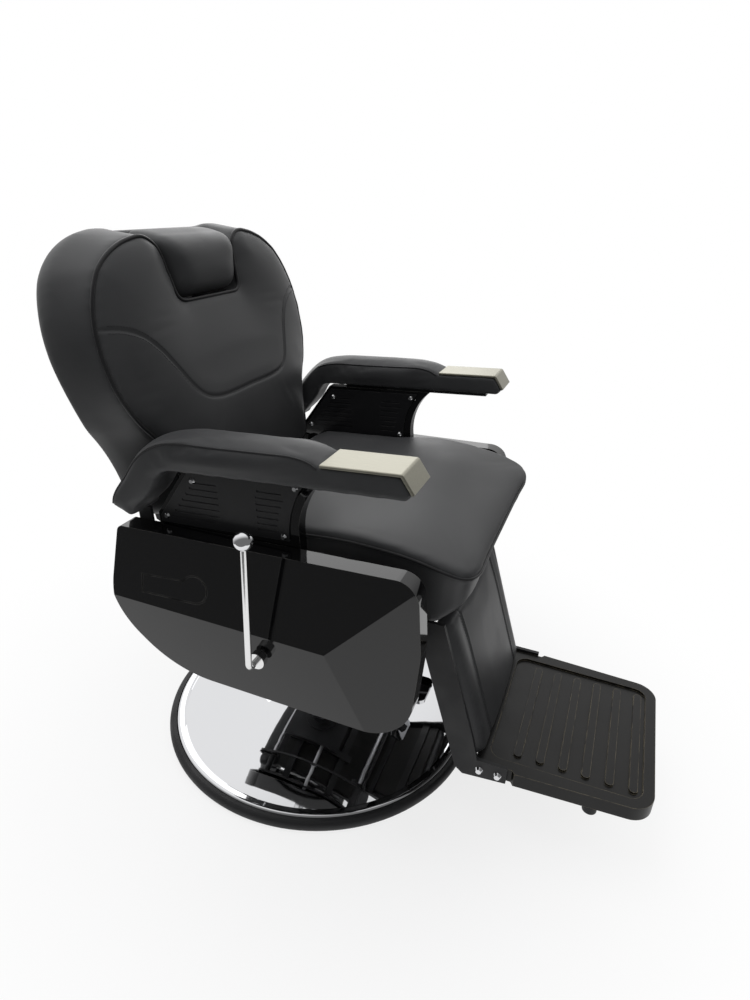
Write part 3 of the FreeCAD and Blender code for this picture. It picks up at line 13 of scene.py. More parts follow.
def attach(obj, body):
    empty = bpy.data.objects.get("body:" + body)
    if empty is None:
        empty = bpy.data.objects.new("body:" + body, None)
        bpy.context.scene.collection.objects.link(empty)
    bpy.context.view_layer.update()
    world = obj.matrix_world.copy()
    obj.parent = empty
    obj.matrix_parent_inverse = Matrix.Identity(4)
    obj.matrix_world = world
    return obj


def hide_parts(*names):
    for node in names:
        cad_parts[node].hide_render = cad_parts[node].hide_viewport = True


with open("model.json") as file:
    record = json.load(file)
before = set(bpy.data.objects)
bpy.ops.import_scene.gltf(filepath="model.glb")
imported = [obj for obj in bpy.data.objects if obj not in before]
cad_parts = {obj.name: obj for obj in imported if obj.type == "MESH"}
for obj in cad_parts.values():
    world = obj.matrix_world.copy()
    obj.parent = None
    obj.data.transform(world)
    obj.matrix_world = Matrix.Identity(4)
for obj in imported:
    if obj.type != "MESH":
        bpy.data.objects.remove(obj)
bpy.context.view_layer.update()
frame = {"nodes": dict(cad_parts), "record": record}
scene = bpy.context.scene
scene.view_settings.view_transform = "Standard"

MM = 0.001

# Leaning frames of the seat, the back and the legrest pad

SEAT = Matrix.Rotation(-math.radians(4.5), 4, "X")
BACK = Matrix.Translation((0, 0.240, 0.895)) @ Matrix.Rotation(-math.radians(15.6), 4, "X")
LEGPAD = Matrix.Translation((0, -0.399, 0.170)) @ Matrix.Rotation(-math.radians(18.7), 4, "X")


# Camera and studio

WHITE = (1, 1, 1)
FILL_COLOUR = (0.95, 0.97, 1.0)
FILL_STRENGTH = 0.25

# Polished pieces mirror a white wall on one side of the studio, which fades to a dim one
BRIGHT_SIDE = (0.60, 0.50, 0.62)
WALL_FADE = 0.75
DIM_WALL = 0.18

FLOOR_HALF = 1.2
FLOOR_DROP = 0.0005
FLOOR_TONE = 0.9
# The floor's own white takes over with the distance from the chair
GLOW_START = 0.4
GLOW_END = 1.1
GLOW_NEAR = 0.8

LAMP_TARGET = (0, 0, 0.6)


def set_camera():
    """The photograph's viewpoint, fitted to the base, covers, arms and footplate."""
    right = Vector((0.3647, -0.9300, 0.0450))
    up = Vector((0.3818, 0.1935, 0.9039))
    forward = Vector((0.8493, 0.3125, -0.4257))
    lens = bpy.data.cameras.new("photo_camera")
    lens.sensor_fit = "VERTICAL"
    lens.sensor_height = 36
    lens.lens = 23.854
    lens.clip_start = 0.05
    camera = bpy.data.objects.new("photo_camera", lens)
    camera.matrix_world = Matrix((right, up, -forward)).transposed().to_4x4()
    camera.location = (-1.0982, -0.5089, 1.1078)
    scene.collection.objects.link(camera)
    scene.camera = camera


def softbox(name, place, size, watts, mirrored):
    """A square soft lamp that points at the chair, and may show in polished pieces."""
    lamp = bpy.data.lights.new(name, "AREA")
    lamp.shape = "SQUARE"
    lamp.size = size
    lamp.energy = watts
    stand = bpy.data.objects.new(name, lamp)
    stand.location = place
    stand.rotation_euler = (Vector(LAMP_TARGET) - Vector(place)).to_track_quat("-Z", "Y").to_euler()
    stand.visible_camera = False
    stand.visible_glossy = mirrored
    scene.collection.objects.link(stand)


def link_math(tree, operation, first, second):
    """A math node between two sockets or numbers."""
    node = tree.nodes.new("ShaderNodeMath")
    node.operation = operation
    for socket, source in zip(node.inputs, (first, second)):
        if isinstance(source, (int, float)):
            socket.default_value = source
        else:
            tree.links.new(source, socket)
    return node.outputs[0]


def smooth_ramp(tree, source, start, end, low=0.0, high=1.0):
    """A value that runs softly from low to high while its source runs from start to end."""
    node = tree.nodes.new("ShaderNodeMapRange")
    node.interpolation_type = "SMOOTHSTEP"
    for label, value in (("From Min", start), ("From Max", end), ("To Min", low), ("To Max", high)):
        node.inputs[label].default_value = value
    tree.links.new(source, node.inputs["Value"])
    return node.outputs["Result"]


def mirror_rays(tree):
    """1 for rays that have met polished metal, gloss or glass."""
    path = tree.nodes.new("ShaderNodeLightPath").outputs
    return link_math(tree, "MAXIMUM", path["Is Glossy Ray"], path["Is Transmission Ray"])


def camera_rays(tree):
    """1 for rays that come straight from the camera."""
    return tree.nodes.new("ShaderNodeLightPath").outputs["Is Camera Ray"]


def plain_light(tree, colour, strength):
    """A background of one colour."""
    node = tree.nodes.new("ShaderNodeBackground")
    node.inputs["Color"].default_value = (*colour, 1)
    node.inputs["Strength"].default_value = strength
    return node


def mixed(tree, factor, first, second):
    """A mix of two shaders."""
    node = tree.nodes.new("ShaderNodeMixShader")
    tree.links.new(factor, node.inputs["Fac"])
    tree.links.new(first.outputs[0], node.inputs[1])
    tree.links.new(second.outputs[0], node.inputs[2])
    return node


def set_world():
    """An even fill; white where it is looked at, and in mirrors white overhead and beyond the chair."""
    world = bpy.data.worlds.new("studio")
    world.use_nodes = True
    scene.world = world
    tree = world.node_tree
    tree.nodes.clear()
    fill = plain_light(tree, FILL_COLOUR, FILL_STRENGTH)
    white = plain_light(tree, WHITE, 1.0)
    room = plain_light(tree, WHITE, 1.0)
    way = tree.nodes.new("ShaderNodeVectorMath")
    way.operation = "DOT_PRODUCT"
    way.inputs[1].default_value = BRIGHT_SIDE
    tree.links.new(tree.nodes.new("ShaderNodeTexCoord").outputs["Generated"], way.inputs[0])
    wall = smooth_ramp(tree, way.outputs["Value"], 0.0, WALL_FADE, low=DIM_WALL)
    tree.links.new(wall, room.inputs["Strength"])
    reflected = mixed(tree, mirror_rays(tree), fill, room)
    seen = mixed(tree, camera_rays(tree), reflected, white)
    out = tree.nodes.new("ShaderNodeOutputWorld")
    tree.links.new(seen.outputs[0], out.inputs["Surface"])


def floor_paint():
    """Matt white that keeps a light shadow round the chair and turns quite white further out."""
    paint = bpy.data.materials.new("studio_floor")
    paint.use_nodes = True
    tree = paint.node_tree
    tree.nodes.clear()
    matt = tree.nodes.new("ShaderNodeBsdfDiffuse")
    matt.inputs["Color"].default_value = (FLOOR_TONE, FLOOR_TONE, FLOOR_TONE, 1)
    glow = tree.nodes.new("ShaderNodeEmission")
    glow.inputs["Color"].default_value = (*WHITE, 1)
    glow.inputs["Strength"].default_value = 1.0
    reach = tree.nodes.new("ShaderNodeVectorMath")
    reach.operation = "LENGTH"
    tree.links.new(tree.nodes.new("ShaderNodeTexCoord").outputs["Object"], reach.inputs[0])
    share = smooth_ramp(tree, reach.outputs["Value"], GLOW_START, GLOW_END, low=GLOW_NEAR)
    seen = link_math(tree, "MAXIMUM", camera_rays(tree), mirror_rays(tree))
    lit = link_math(tree, "MULTIPLY", seen, share)
    out = tree.nodes.new("ShaderNodeOutputMaterial")
    tree.links.new(mixed(tree, lit, matt, glow).outputs[0], out.inputs["Surface"])
    return paint


def lay_floor():
    """A plain square floor under the base."""
    half = FLOOR_HALF
    mesh = bpy.data.meshes.new("studio_floor")
    corners = [(-half, -half, 0), (half, -half, 0), (half, half, 0), (-half, half, 0)]
    mesh.from_pydata(corners, [], [(0, 1, 2, 3)])
    mesh.materials.append(floor_paint())
    floor = bpy.data.objects.new("studio_floor", mesh)
    floor.location.z = -FLOOR_DROP
    scene.collection.objects.link(floor)


# Effects shared by several finishes


class Effect:
    """A shader group under construction: named inputs and outputs, and short ways to add nodes."""

    def __init__(self, name, inputs, outputs):
        self.tree = bpy.data.node_groups.new(name, "ShaderNodeTree")
        for label, default in inputs.items():
            kind = "NodeSocketVector" if isinstance(default, tuple) else "NodeSocketFloat"
            self.tree.interface.new_socket(label, in_out="INPUT", socket_type=kind).default_value = default
        for label in outputs:
            self.tree.interface.new_socket(label, in_out="OUTPUT", socket_type="NodeSocketFloat")
        self.given = self.tree.nodes.new("NodeGroupInput").outputs
        self.result = self.tree.nodes.new("NodeGroupOutput").inputs

    def link(self, source, target):
        self.tree.links.new(source, target)

    def place(self):
        """Where a point lies on its own piece."""
        return self.tree.nodes.new("ShaderNodeTexCoord").outputs["Object"]

    def noise(self, where, scale, detail):
        node = self.tree.nodes.new("ShaderNodeTexNoise")
        node.inputs["Detail"].default_value = detail
        self.link(where, node.inputs["Vector"])
        if isinstance(scale, (int, float)):
            node.inputs["Scale"].default_value = scale
        else:
            self.link(scale, node.inputs["Scale"])
        return node.outputs["Fac"]

    def spread(self, source, low, high):
        """Stretches a range of values to 0 to 1."""
        return smooth_ramp(self.tree, source, low, high)

    def combine(self, operation, first, second):
        return link_math(self.tree, operation, first, second)


def make_leather_grain():
    """Small rounded pebbles with finer creases, and a slow mottle from handling."""
    effect = Effect("leather_grain", {"Pebble Scale": 420.0, "Mottle Scale": 7.0}, ["Height", "Mottle"])
    pebble_share = 0.65
    crease_share = 0.35
    where = effect.place()
    cells = effect.tree.nodes.new("ShaderNodeTexVoronoi")
    cells.feature = "DISTANCE_TO_EDGE"
    effect.link(where, cells.inputs["Vector"])
    effect.link(effect.given["Pebble Scale"], cells.inputs["Scale"])
    pebble = effect.spread(cells.outputs["Distance"], low=0.0, high=0.22)
    crease = effect.noise(where, scale=160.0, detail=4.0)
    pebbles = effect.combine("MULTIPLY", pebble, pebble_share)
    creases = effect.combine("MULTIPLY", crease, crease_share)
    effect.link(effect.combine("ADD", pebbles, creases), effect.result["Height"])
    patches = effect.noise(where, effect.given["Mottle Scale"], detail=4.0)
    effect.link(effect.spread(patches, low=0.32, high=0.68), effect.result["Mottle"])
    return effect.tree


def make_paint_peel():
    """The fine orange peel of sprayed and powder coats, with a faint cloudiness."""
    effect = Effect("paint_peel", {"Peel Scale": 650.0}, ["Height", "Cloud"])
    where = effect.place()
    effect.link(effect.noise(where, effect.given["Peel Scale"], detail=2.0), effect.result["Height"])
    clouds = effect.noise(where, scale=16.0, detail=4.0)
    effect.link(effect.spread(clouds, low=0.3, high=0.7), effect.result["Cloud"])
    return effect.tree


def make_brush_lines():
    """Fine parallel lines of brushed metal, as long as the stretch is small."""
    effect = Effect("brush_lines", {"Stretch": (900.0, 9.0, 900.0)}, ["Height", "Streak"])
    mapping = effect.tree.nodes.new("ShaderNodeMapping")
    effect.link(effect.place(), mapping.inputs["Vector"])
    effect.link(effect.given["Stretch"], mapping.inputs["Scale"])
    lines = effect.noise(mapping.outputs["Vector"], scale=1.0, detail=3.0)
    effect.link(lines, effect.result["Height"])
    effect.link(effect.spread(lines, low=0.3, high=0.7), effect.result["Streak"])
    return effect.tree


def make_handling_smudge():
    """Patches where polish is slightly dulled by hands and cleaning."""
    effect = Effect("handling_smudge", {"Patch Scale": 11.0}, ["Smudge"])
    where = effect.place()
    hands = effect.noise(where, effect.given["Patch Scale"], detail=5.0)
    patches = effect.spread(hands, low=0.45, high=0.75)
    swirls = effect.noise(where, scale=130.0, detail=3.0)
    effect.link(effect.combine("MULTIPLY", patches, swirls), effect.result["Smudge"])
    return effect.tree


def make_edge_wear_and_glint():
    """A mask along edges, where a rounded normal turns away from the true one, broken up by noise; it marks
    rubbed edges and painted glints along edges.
    """
    effect = Effect("edge_wear_and_glint", {"Width": 0.0022}, ["Wear"])
    rounded = effect.tree.nodes.new("ShaderNodeBevel")
    rounded.samples = 4
    effect.link(effect.given["Width"], rounded.inputs["Radius"])
    turn = effect.tree.nodes.new("ShaderNodeVectorMath")
    turn.operation = "DOT_PRODUCT"
    effect.link(rounded.outputs["Normal"], turn.inputs[0])
    effect.link(effect.tree.nodes.new("ShaderNodeNewGeometry").outputs["Normal"], turn.inputs[1])
    edge = effect.spread(effect.combine("SUBTRACT", 1.0, turn.outputs["Value"]), low=0.02, high=0.2)
    broken = effect.spread(effect.noise(effect.place(), scale=45.0, detail=4.0), low=0.3, high=0.6)
    effect.link(effect.combine("MULTIPLY", edge, broken), effect.result["Wear"])
    return effect.tree


LEATHER_GRAIN = make_leather_grain()
PAINT_PEEL = make_paint_peel()
BRUSH_LINES = make_brush_lines()
HANDLING_SMUDGE = make_handling_smudge()
EDGE_WEAR_AND_GLINT = make_edge_wear_and_glint()


# Finishes


class Finish:
    """A material under construction round one Principled shader."""

    def __init__(self, name, **sockets):
        self.material = bpy.data.materials.new(name)
        self.material.use_nodes = True
        self.tree = self.material.node_tree
        self.shader = self.tree.nodes["Principled BSDF"]
        for label, value in sockets.items():
            self.shader.inputs[label.replace("_", " ")].default_value = value

    def effect(self, group, **inputs):
        node = self.tree.nodes.new("ShaderNodeGroup")
        node.node_tree = group
        for label, value in inputs.items():
            node.inputs[label.replace("_", " ")].default_value = value
        return node.outputs

    def colour(self, mask, first, second):
        """Base colour between two tones."""
        node = self.tree.nodes.new("ShaderNodeMix")
        node.data_type = "RGBA"
        self.tree.links.new(mask, node.inputs["Factor"])
        colours = [socket for socket in node.outputs if socket.type == "RGBA"]
        self.tree.links.new(colours[0], self.shader.inputs["Base Color"])
        for socket in node.inputs:
            if socket.type == "RGBA":
                socket.default_value = (*(first if socket.name == "A" else second), 1)

    def roughness(self, mask, low, high):
        node = self.tree.nodes.new("ShaderNodeMapRange")
        node.inputs["To Min"].default_value = low
        node.inputs["To Max"].default_value = high
        self.tree.links.new(mask, node.inputs["Value"])
        self.tree.links.new(node.outputs["Result"], self.shader.inputs["Roughness"])

    def bump(self, height, strength, distance):
        node = self.tree.nodes.new("ShaderNodeBump")
        node.inputs["Strength"].default_value = strength
        node.inputs["Distance"].default_value = distance
        self.tree.links.new(height, node.inputs["Height"])
        self.tree.links.new(node.outputs["Normal"], self.shader.inputs["Normal"])


def leather_finish(name, dark, light, rough):
    """Black leatherette: soft grained skin with a satin sheen."""
    finish = Finish(name, Specular_IOR_Level=0.35, Sheen_Weight=0.03, Sheen_Roughness=0.4)
    grain = finish.effect(LEATHER_GRAIN)
    finish.colour(grain["Mottle"], dark, light)
    finish.roughness(grain["Mottle"], rough - 0.05, rough + 0.06)
    finish.bump(grain["Height"], strength=0.07, distance=0.0005)
    return finish.material


def painted_finish(name, dark, light, rough, peel, strength, wear, shine=0.4):
    """A sprayed black coat: peel in the gloss, cloudy roughness, and lighter edges that are partly rubbed and
    partly a painted glint.
    """
    finish = Finish(name, Specular_IOR_Level=shine)
    coat = finish.effect(PAINT_PEEL, Peel_Scale=peel)
    # Lighter colour along the edges: a little rubbing, and a painted glint where the edges would catch light.
    worn_and_glinting = finish.effect(EDGE_WEAR_AND_GLINT)["Wear"]
    finish.colour(worn_and_glinting, dark, light)
    finish.roughness(coat["Cloud"], rough - 0.04, rough + wear)
    finish.bump(coat["Height"], strength, distance=0.0003)
    return finish.material


def gloss_finish():
    """Deep black gloss moulding with a painted highlight along its edges."""
    finish = Finish("gloss_black", Specular_IOR_Level=0.5)
    smudge = finish.effect(HANDLING_SMUDGE)["Smudge"]
    # The lighter colour along the edges is a painted highlight.
    worn_and_glinting = finish.effect(EDGE_WEAR_AND_GLINT, Width=0.0016)["Wear"]
    finish.colour(worn_and_glinting, (0.004, 0.004, 0.0044), (0.10, 0.097, 0.09))
    finish.roughness(smudge, low=0.045, high=0.13)
    return finish.material


def mirror_finish(name, tone, low, high):
    """Polished plating."""
    finish = Finish(name, Metallic=1.0, Base_Color=(*tone, 1))
    smudge = finish.effect(HANDLING_SMUDGE, Patch_Scale=7.0)["Smudge"]
    finish.roughness(smudge, low, high)
    return finish.material


def brushed_finish(name, dark, light, rough, stretch):
    """Brushed metal with lines along one direction."""
    finish = Finish(name, Metallic=1.0)
    lines = finish.effect(BRUSH_LINES, Stretch=stretch)
    finish.colour(lines["Streak"], dark, light)
    finish.roughness(lines["Streak"], rough - 0.05, rough + 0.07)
    finish.bump(lines["Height"], strength=0.12, distance=0.0002)
    return finish.material


def board_finish():
    """Plywood under thin black paint, with the wood's lines still in it."""
    finish = Finish("board_black", Specular_IOR_Level=0.3)
    lines = finish.effect(BRUSH_LINES, Stretch=(60.0, 4.0, 60.0))
    finish.colour(lines["Streak"], (0.010, 0.010, 0.010), (0.020, 0.019, 0.018))
    finish.roughness(lines["Streak"], low=0.55, high=0.7)
    finish.bump(lines["Height"], strength=0.1, distance=0.0003)
    return finish.material


FINISHES = {
    "leatherette": leather_finish(
        "leatherette", dark=(0.036, 0.0365, 0.038), light=(0.046, 0.0463, 0.0475), rough=0.45,
    ),
    "cap_metal": brushed_finish(
        "cap_metal", dark=(0.35, 0.338, 0.276), light=(0.435, 0.42, 0.35), rough=0.4,
        stretch=(900.0, 9.0, 900.0),
    ),
    "satin_black": painted_finish(
        "satin_black", dark=(0.010, 0.010, 0.011), light=(0.035, 0.035, 0.036), rough=0.38,
        peel=650, strength=0.1, wear=0.08,
    ),
    "gloss_black": gloss_finish(),
    "powder_black": painted_finish(
        "powder_black", dark=(0.012, 0.012, 0.013), light=(0.04, 0.04, 0.042), rough=0.5,
        peel=480, strength=0.25, wear=0.1,
    ),
    # The warm pale edge tone of the footplate is a painted glint along its ribs and rims.
    "footplate_black": painted_finish(
        "footplate_black", dark=(0.009, 0.0086, 0.0080), light=(0.20, 0.17, 0.115), rough=0.36,
        peel=420, strength=0.1, wear=0.05, shine=0.28,
    ),
    "chrome": mirror_finish("chrome", tone=(0.74, 0.745, 0.76), low=0.025, high=0.09),
    "lever_chrome": mirror_finish("lever_chrome", tone=(0.78, 0.78, 0.78), low=0.12, high=0.24),
    "steel": brushed_finish(
        "steel", dark=(0.42, 0.42, 0.43), light=(0.55, 0.55, 0.56), rough=0.38,
        stretch=(300.0, 300.0, 12.0),
    ),
    "rubber": painted_finish(
        "rubber", dark=(0.014, 0.014, 0.015), light=(0.024, 0.024, 0.025), rough=0.55,
        peel=900, strength=0.2, wear=0.1,
    ),
    "board_black": board_finish(),
}
# The piping's darker tone is partly the cord's own colour and partly painted shade for the dark line along
# it.
PIPING = leather_finish("piping_leatherette", (0.010, 0.010, 0.011), (0.015, 0.015, 0.016), rough=0.4)
THREAD = leather_finish("seam_thread", (0.018, 0.018, 0.019), (0.026, 0.026, 0.027), rough=0.6)


def finish_nodes():
    """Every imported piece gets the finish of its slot."""
    for entry in frame["record"]["subparts"]:
        mesh = frame["nodes"][entry["node"]].data
        mesh.materials.clear()
        mesh.materials.append(FINISHES[entry["material_slot"]])


# Lines and arcs


def arc(start, through, end, steps):
    """Points after start, on the arc through three points, up to end."""
    (ax, ay), (bx, by), (cx, cy) = start, through, end
    a_square = ax * ax + ay * ay
    b_square = bx * bx + by * by
    c_square = cx * cx + cy * cy
    spread = 2 * (ax * (by - cy) + bx * (cy - ay) + cx * (ay - by))
    middle_x = (a_square * (by - cy) + b_square * (cy - ay) + c_square * (ay - by)) / spread
    middle_y = (a_square * (cx - bx) + b_square * (ax - cx) + c_square * (bx - ax)) / spread
    radius = math.hypot(ax - middle_x, ay - middle_y)
    first = math.atan2(ay - middle_y, ax - middle_x)
    full = 2 * math.pi
    turn = (math.atan2(cy - middle_y, cx - middle_x) - first) % full
    turn_through = (math.atan2(by - middle_y, bx - middle_x) - first) % full
    if turn_through > turn:
        turn -= full
    angles = [first + turn * k / steps for k in range(1, steps + 1)]
    return [(middle_x + radius * math.cos(a), middle_y + radius * math.sin(a)) for a in angles]


def trace(corners, steps=14):
    """A run of points along lines and arcs; a corner marked "round" is a point inside an arc."""
    points = [corners[0][:2]]
    k = 1
    while k < len(corners):
        if len(corners[k]) == 3:
            points += arc(points[-1], corners[k][:2], corners[k + 1][:2], steps)
            k += 2
        else:
            (ax, ay), (bx, by) = points[-1], corners[k][:2]
            points += [(ax + (bx - ax) * j / steps, ay + (by - ay) * j / steps) for j in range(1, steps + 1)]
            k += 1
    return points


def both_halves(right_half):
    """The closed outline from its right-hand half, whose ends lie on the middle line."""
    left_half = [(-x, y) for x, y in reversed(right_half[1:-1])]
    return right_half + left_half


def along(points, pitch, closed=False):
    """Points at an even pitch along a run of 3-D points."""
    run = np.asarray(points, float)
    if closed:
        run = np.vstack([run, run[:1]])
    lengths = np.r_[0, np.cumsum(np.linalg.norm(np.diff(run, axis=0), axis=1))]
    count = max(2, int(lengths[-1] / pitch))
    places = np.linspace(0, lengths[-1], count + 1)
    if closed:
        places = places[:-1]
    return np.stack([np.interp(places, lengths, run[:, axis]) for axis in range(3)], 1)


def distance_to_run(spots, run):
    """Distance of each spot to the nearest part of a run of points, both flat or both in space."""
    run = np.asarray(run, float)
    best = np.full(len(spots), np.inf)
    for a, b in zip(run[:-1], run[1:]):
        step = b - a
        share = np.clip(((spots - a) @ step) / max(step @ step, 1e-12), 0, 1)
        best = np.minimum(best, np.linalg.norm(spots - (a + share[:, None] * step), axis=1))
    return best


def sideways(steps):
    """Unit vectors square to flat steps."""
    return np.c_[-steps[:, 1], steps[:, 0]] / np.linalg.norm(steps, axis=1)[:, None]


def smooth_run(points, rounds=2):
    """Rounds the corners of a run of points."""
    run = np.asarray(points, float)
    for _ in range(rounds):
        quarter = run[:-1] * 0.75 + run[1:] * 0.25
        three = run[:-1] * 0.25 + run[1:] * 0.75
        run = np.vstack([run[:1], np.stack([quarter, three], 1).reshape(-1, run.shape[1]), run[-1:]])
    return run


def between(values, start, end):
    """How far values have come from start to end, from 0 to 1."""
    return np.clip((values - start) / (end - start), 0, 1)


def bell(distance, width):
    """1 at no distance, falling smoothly away over a width or two."""
    return np.exp(-((distance / width) ** 2))


# Stuffed pieces

SMOOTHING = 0.5
CALM_ROUNDS = 5
STUFFING_STEPS = 20
STUFFING_PRESSURE = 4
SKIN_STIFFNESS = 12
SKIN_MASS = 0.3
SEWN_GRADES = 10

STUFFED = []


def get_points(mesh):
    flat = np.empty(len(mesh.vertices) * 3)
    mesh.vertices.foreach_get("co", flat)
    return flat.reshape(-1, 3)


def set_points(mesh, points):
    mesh.vertices.foreach_set("co", np.asarray(points, float).ravel())
    mesh.update()


def into(matrix, points):
    """World points in a leaning frame, in millimetres."""
    inverse = np.array(matrix.inverted())
    return (points @ inverse[:3, :3].T + inverse[:3, 3]) / MM


def out_of(matrix, points):
    """Points of a leaning frame, in millimetres, in the world."""
    full = np.array(matrix)
    return (np.asarray(points, float) * MM) @ full[:3, :3].T + full[:3, 3]


def evaluated_copy(piece):
    """The piece's mesh with its modifiers worked in."""
    bpy.context.view_layer.update()
    graph = bpy.context.evaluated_depsgraph_get()
    return bpy.data.meshes.new_from_object(piece.evaluated_get(graph))


def apply_modifiers(piece):
    finished = evaluated_copy(piece)
    piece.modifiers.clear()
    old = piece.data
    piece.data = finished
    bpy.data.meshes.remove(old)


def soften(piece, rounds):
    smoothing = piece.modifiers.new("soften", "SMOOTH")
    smoothing.factor = SMOOTHING
    smoothing.iterations = rounds


def skin_of(name, mesh, voxel, rounds):
    """A closed, evenly meshed and softened skin over a mesh."""
    piece = bpy.data.objects.new(name, mesh)
    scene.collection.objects.link(piece)
    remesh = piece.modifiers.new("skin", "REMESH")
    remesh.mode = "VOXEL"
    remesh.voxel_size = voxel * MM
    soften(piece, rounds)
    apply_modifiers(piece)
    return piece


def copy_of_node(node):
    mesh = frame["nodes"][node].data.copy()
    mesh.materials.clear()
    return mesh


def smooth_faces(mesh):
    mesh.polygons.foreach_set("use_smooth", np.ones(len(mesh.polygons), bool))


def stuff(piece, held, cap):
    """Puts a piece down for the stuffing run: held is 0 where its skin is free and 1 where it is sewn."""
    STUFFED.append((piece, np.clip(held, 0, 1), cap * MM, get_points(piece.data)))


def fit_stuffing(piece, held):
    """A cloth run that swells the piece's skin where it isn't held."""
    group = piece.vertex_groups.new(name="sewn")
    grades = np.round(held * SEWN_GRADES).astype(int)
    for grade in range(1, SEWN_GRADES + 1):
        rows = np.nonzero(grades == grade)[0]
        if len(rows):
            group.add(rows.tolist(), grade / SEWN_GRADES, "REPLACE")
    cloth = piece.modifiers.new("stuffing", "CLOTH").settings
    cloth.quality = 4
    cloth.mass = SKIN_MASS
    cloth.tension_stiffness = SKIN_STIFFNESS
    cloth.compression_stiffness = SKIN_STIFFNESS
    cloth.use_pressure = True
    cloth.uniform_pressure_force = STUFFING_PRESSURE
    cloth.effector_weights.gravity = 0
    cloth.vertex_group_mass = "sewn"


def blow_up():
    """Swells every stuffed piece with cloth simulation, no further than its cap."""
    for piece, held, cap, start in STUFFED:
        fit_stuffing(piece, held)
    for step in range(1, STUFFING_STEPS + 1):
        scene.frame_set(step)
    swollen = [get_points(evaluated_copy(entry[0])) for entry in STUFFED]
    for (piece, held, cap, start), points in zip(STUFFED, swollen):
        piece.modifiers.clear()
        piece.vertex_groups.clear()
        shift = points - start
        length = np.linalg.norm(shift, axis=1)
        room = cap * (1 - held)
        shift *= (np.minimum(length, room) / np.maximum(length, 1e-9))[:, None]
        set_points(piece.data, start + shift)
        soften(piece, CALM_ROUNDS)
        apply_modifiers(piece)
    scene.frame_set(1)


def refine(piece):
    """One subdivision, worked in, so that seams can be pressed into the finer skin."""
    finer = piece.modifiers.new("finer", "SUBSURF")
    finer.levels = 1
    finer.render_levels = 1
    apply_modifiers(piece)
    smooth_faces(piece.data)


def upholster(piece, body, *nodes, fill):
    """Leatherette, its body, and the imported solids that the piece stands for."""
    piece.data.materials.clear()
    piece.data.materials.append(FINISHES["leatherette"])
    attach(piece, body)
    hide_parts(*nodes)


# Piping and stitches

PIPING_PITCH = 5 * MM
STITCH_PITCH = 6 * MM
STITCH_LIFT = 0.3 * MM
STITCH_LENGTH = 4.2 * MM
STITCH_RADIUS = 0.45 * MM
STITCH_SIDES = 6
# Rings of a stitch: place along its length and share of its radius
STITCH_RINGS = ((-0.5, 0.25), (-0.3, 0.9), (0.0, 1.0), (0.3, 0.9), (0.5, 0.25))


def surface_of(piece):
    return BVHTree.FromObject(piece, bpy.context.evaluated_depsgraph_get())


def on_surface(skin, points, lift):
    """Points moved to the skin and raised by a lift, with the skin's normals there."""
    spots, normals = [], []
    for point in points:
        place, normal = skin.find_nearest(Vector(point))[:2]
        spots.append(place + normal * lift)
        normals.append(normal)
    return np.array(spots), np.array(normals)


def even_out(points, closed, rounds):
    """Averages each point with its neighbours, so that a line on a skin runs smoothly."""
    run = np.array(points)
    for _ in range(rounds):
        before = np.roll(run, 1, 0)
        after = np.roll(run, -1, 0)
        calm = run * 0.5 + (before + after) * 0.25
        if not closed:
            calm[0], calm[-1] = run[0], run[-1]
        run = calm
    return run


def sewn_piece(name, mesh, finish, body):
    """A piece of sewing that rides with its cushion."""
    smooth_faces(mesh)
    mesh.materials.clear()
    mesh.materials.append(finish)
    piece = bpy.data.objects.new(name, mesh)
    scene.collection.objects.link(piece)
    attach(piece, body)


def piping(name, skin, line, body, lift, radius, closed=False, rounds=3):
    """A round sewn cord along a line that is laid on a skin."""
    spots, _ = on_surface(skin, along(line, PIPING_PITCH, closed), lift * MM)
    points = even_out(spots, closed, rounds)
    curve = bpy.data.curves.new(name, "CURVE")
    curve.dimensions = "3D"
    curve.bevel_depth = radius * MM
    curve.bevel_resolution = 2
    curve.use_fill_caps = True
    spline = curve.splines.new("POLY")
    spline.points.add(len(points) - 1)
    spline.points.foreach_set("co", np.c_[points, np.ones(len(points))].ravel())
    spline.use_cyclic_u = closed
    path = bpy.data.objects.new(name, curve)
    scene.collection.objects.link(path)
    mesh = evaluated_copy(path)
    bpy.data.objects.remove(path)
    bpy.data.curves.remove(curve)
    mesh.name = name
    sewn_piece(name, mesh, PIPING, body)


def stitch_rings(start, end, normal):
    """Points of one stitch between two points, ring by ring."""
    middle = (start + end) / 2
    ahead = (end - start).normalized()
    across = ahead.cross(normal).normalized()
    out = across.cross(ahead)
    points = []
    for place, width in STITCH_RINGS:
        for side in range(STITCH_SIDES):
            turn = 2 * math.pi * side / STITCH_SIDES
            rim = across * math.cos(turn) + out * math.sin(turn)
            points.append(middle + ahead * (place * STITCH_LENGTH) + rim * (width * STITCH_RADIUS))
    return points


def tube_faces(base, rings, sides):
    """Faces of a closed tube whose rings of points begin at a base number."""
    faces = []
    for r in range(rings - 1):
        low = base + r * sides
        high = low + sides
        for j in range(sides):
            n = (j + 1) % sides
            faces.append((low + j, low + n, high + n, high + j))
    faces.append(tuple(base + j for j in reversed(range(sides))))
    last = base + (rings - 1) * sides
    faces.append(tuple(last + j for j in range(sides)))
    return faces


def stitches(name, skin, line, body):
    """A row of thread stitches along a line that is laid on a skin."""
    spots, normals = on_surface(skin, along(line, STITCH_PITCH), STITCH_LIFT)
    vertices, faces = [], []
    for start, end, normal in zip(spots[:-1], spots[1:], normals):
        faces += tube_faces(len(vertices), len(STITCH_RINGS), STITCH_SIDES)
        vertices += stitch_rings(Vector(start), Vector(end), Vector(normal))
    mesh = bpy.data.meshes.new(name)
    mesh.from_pydata(vertices, [], faces)
    sewn_piece(name, mesh, THREAD, body)


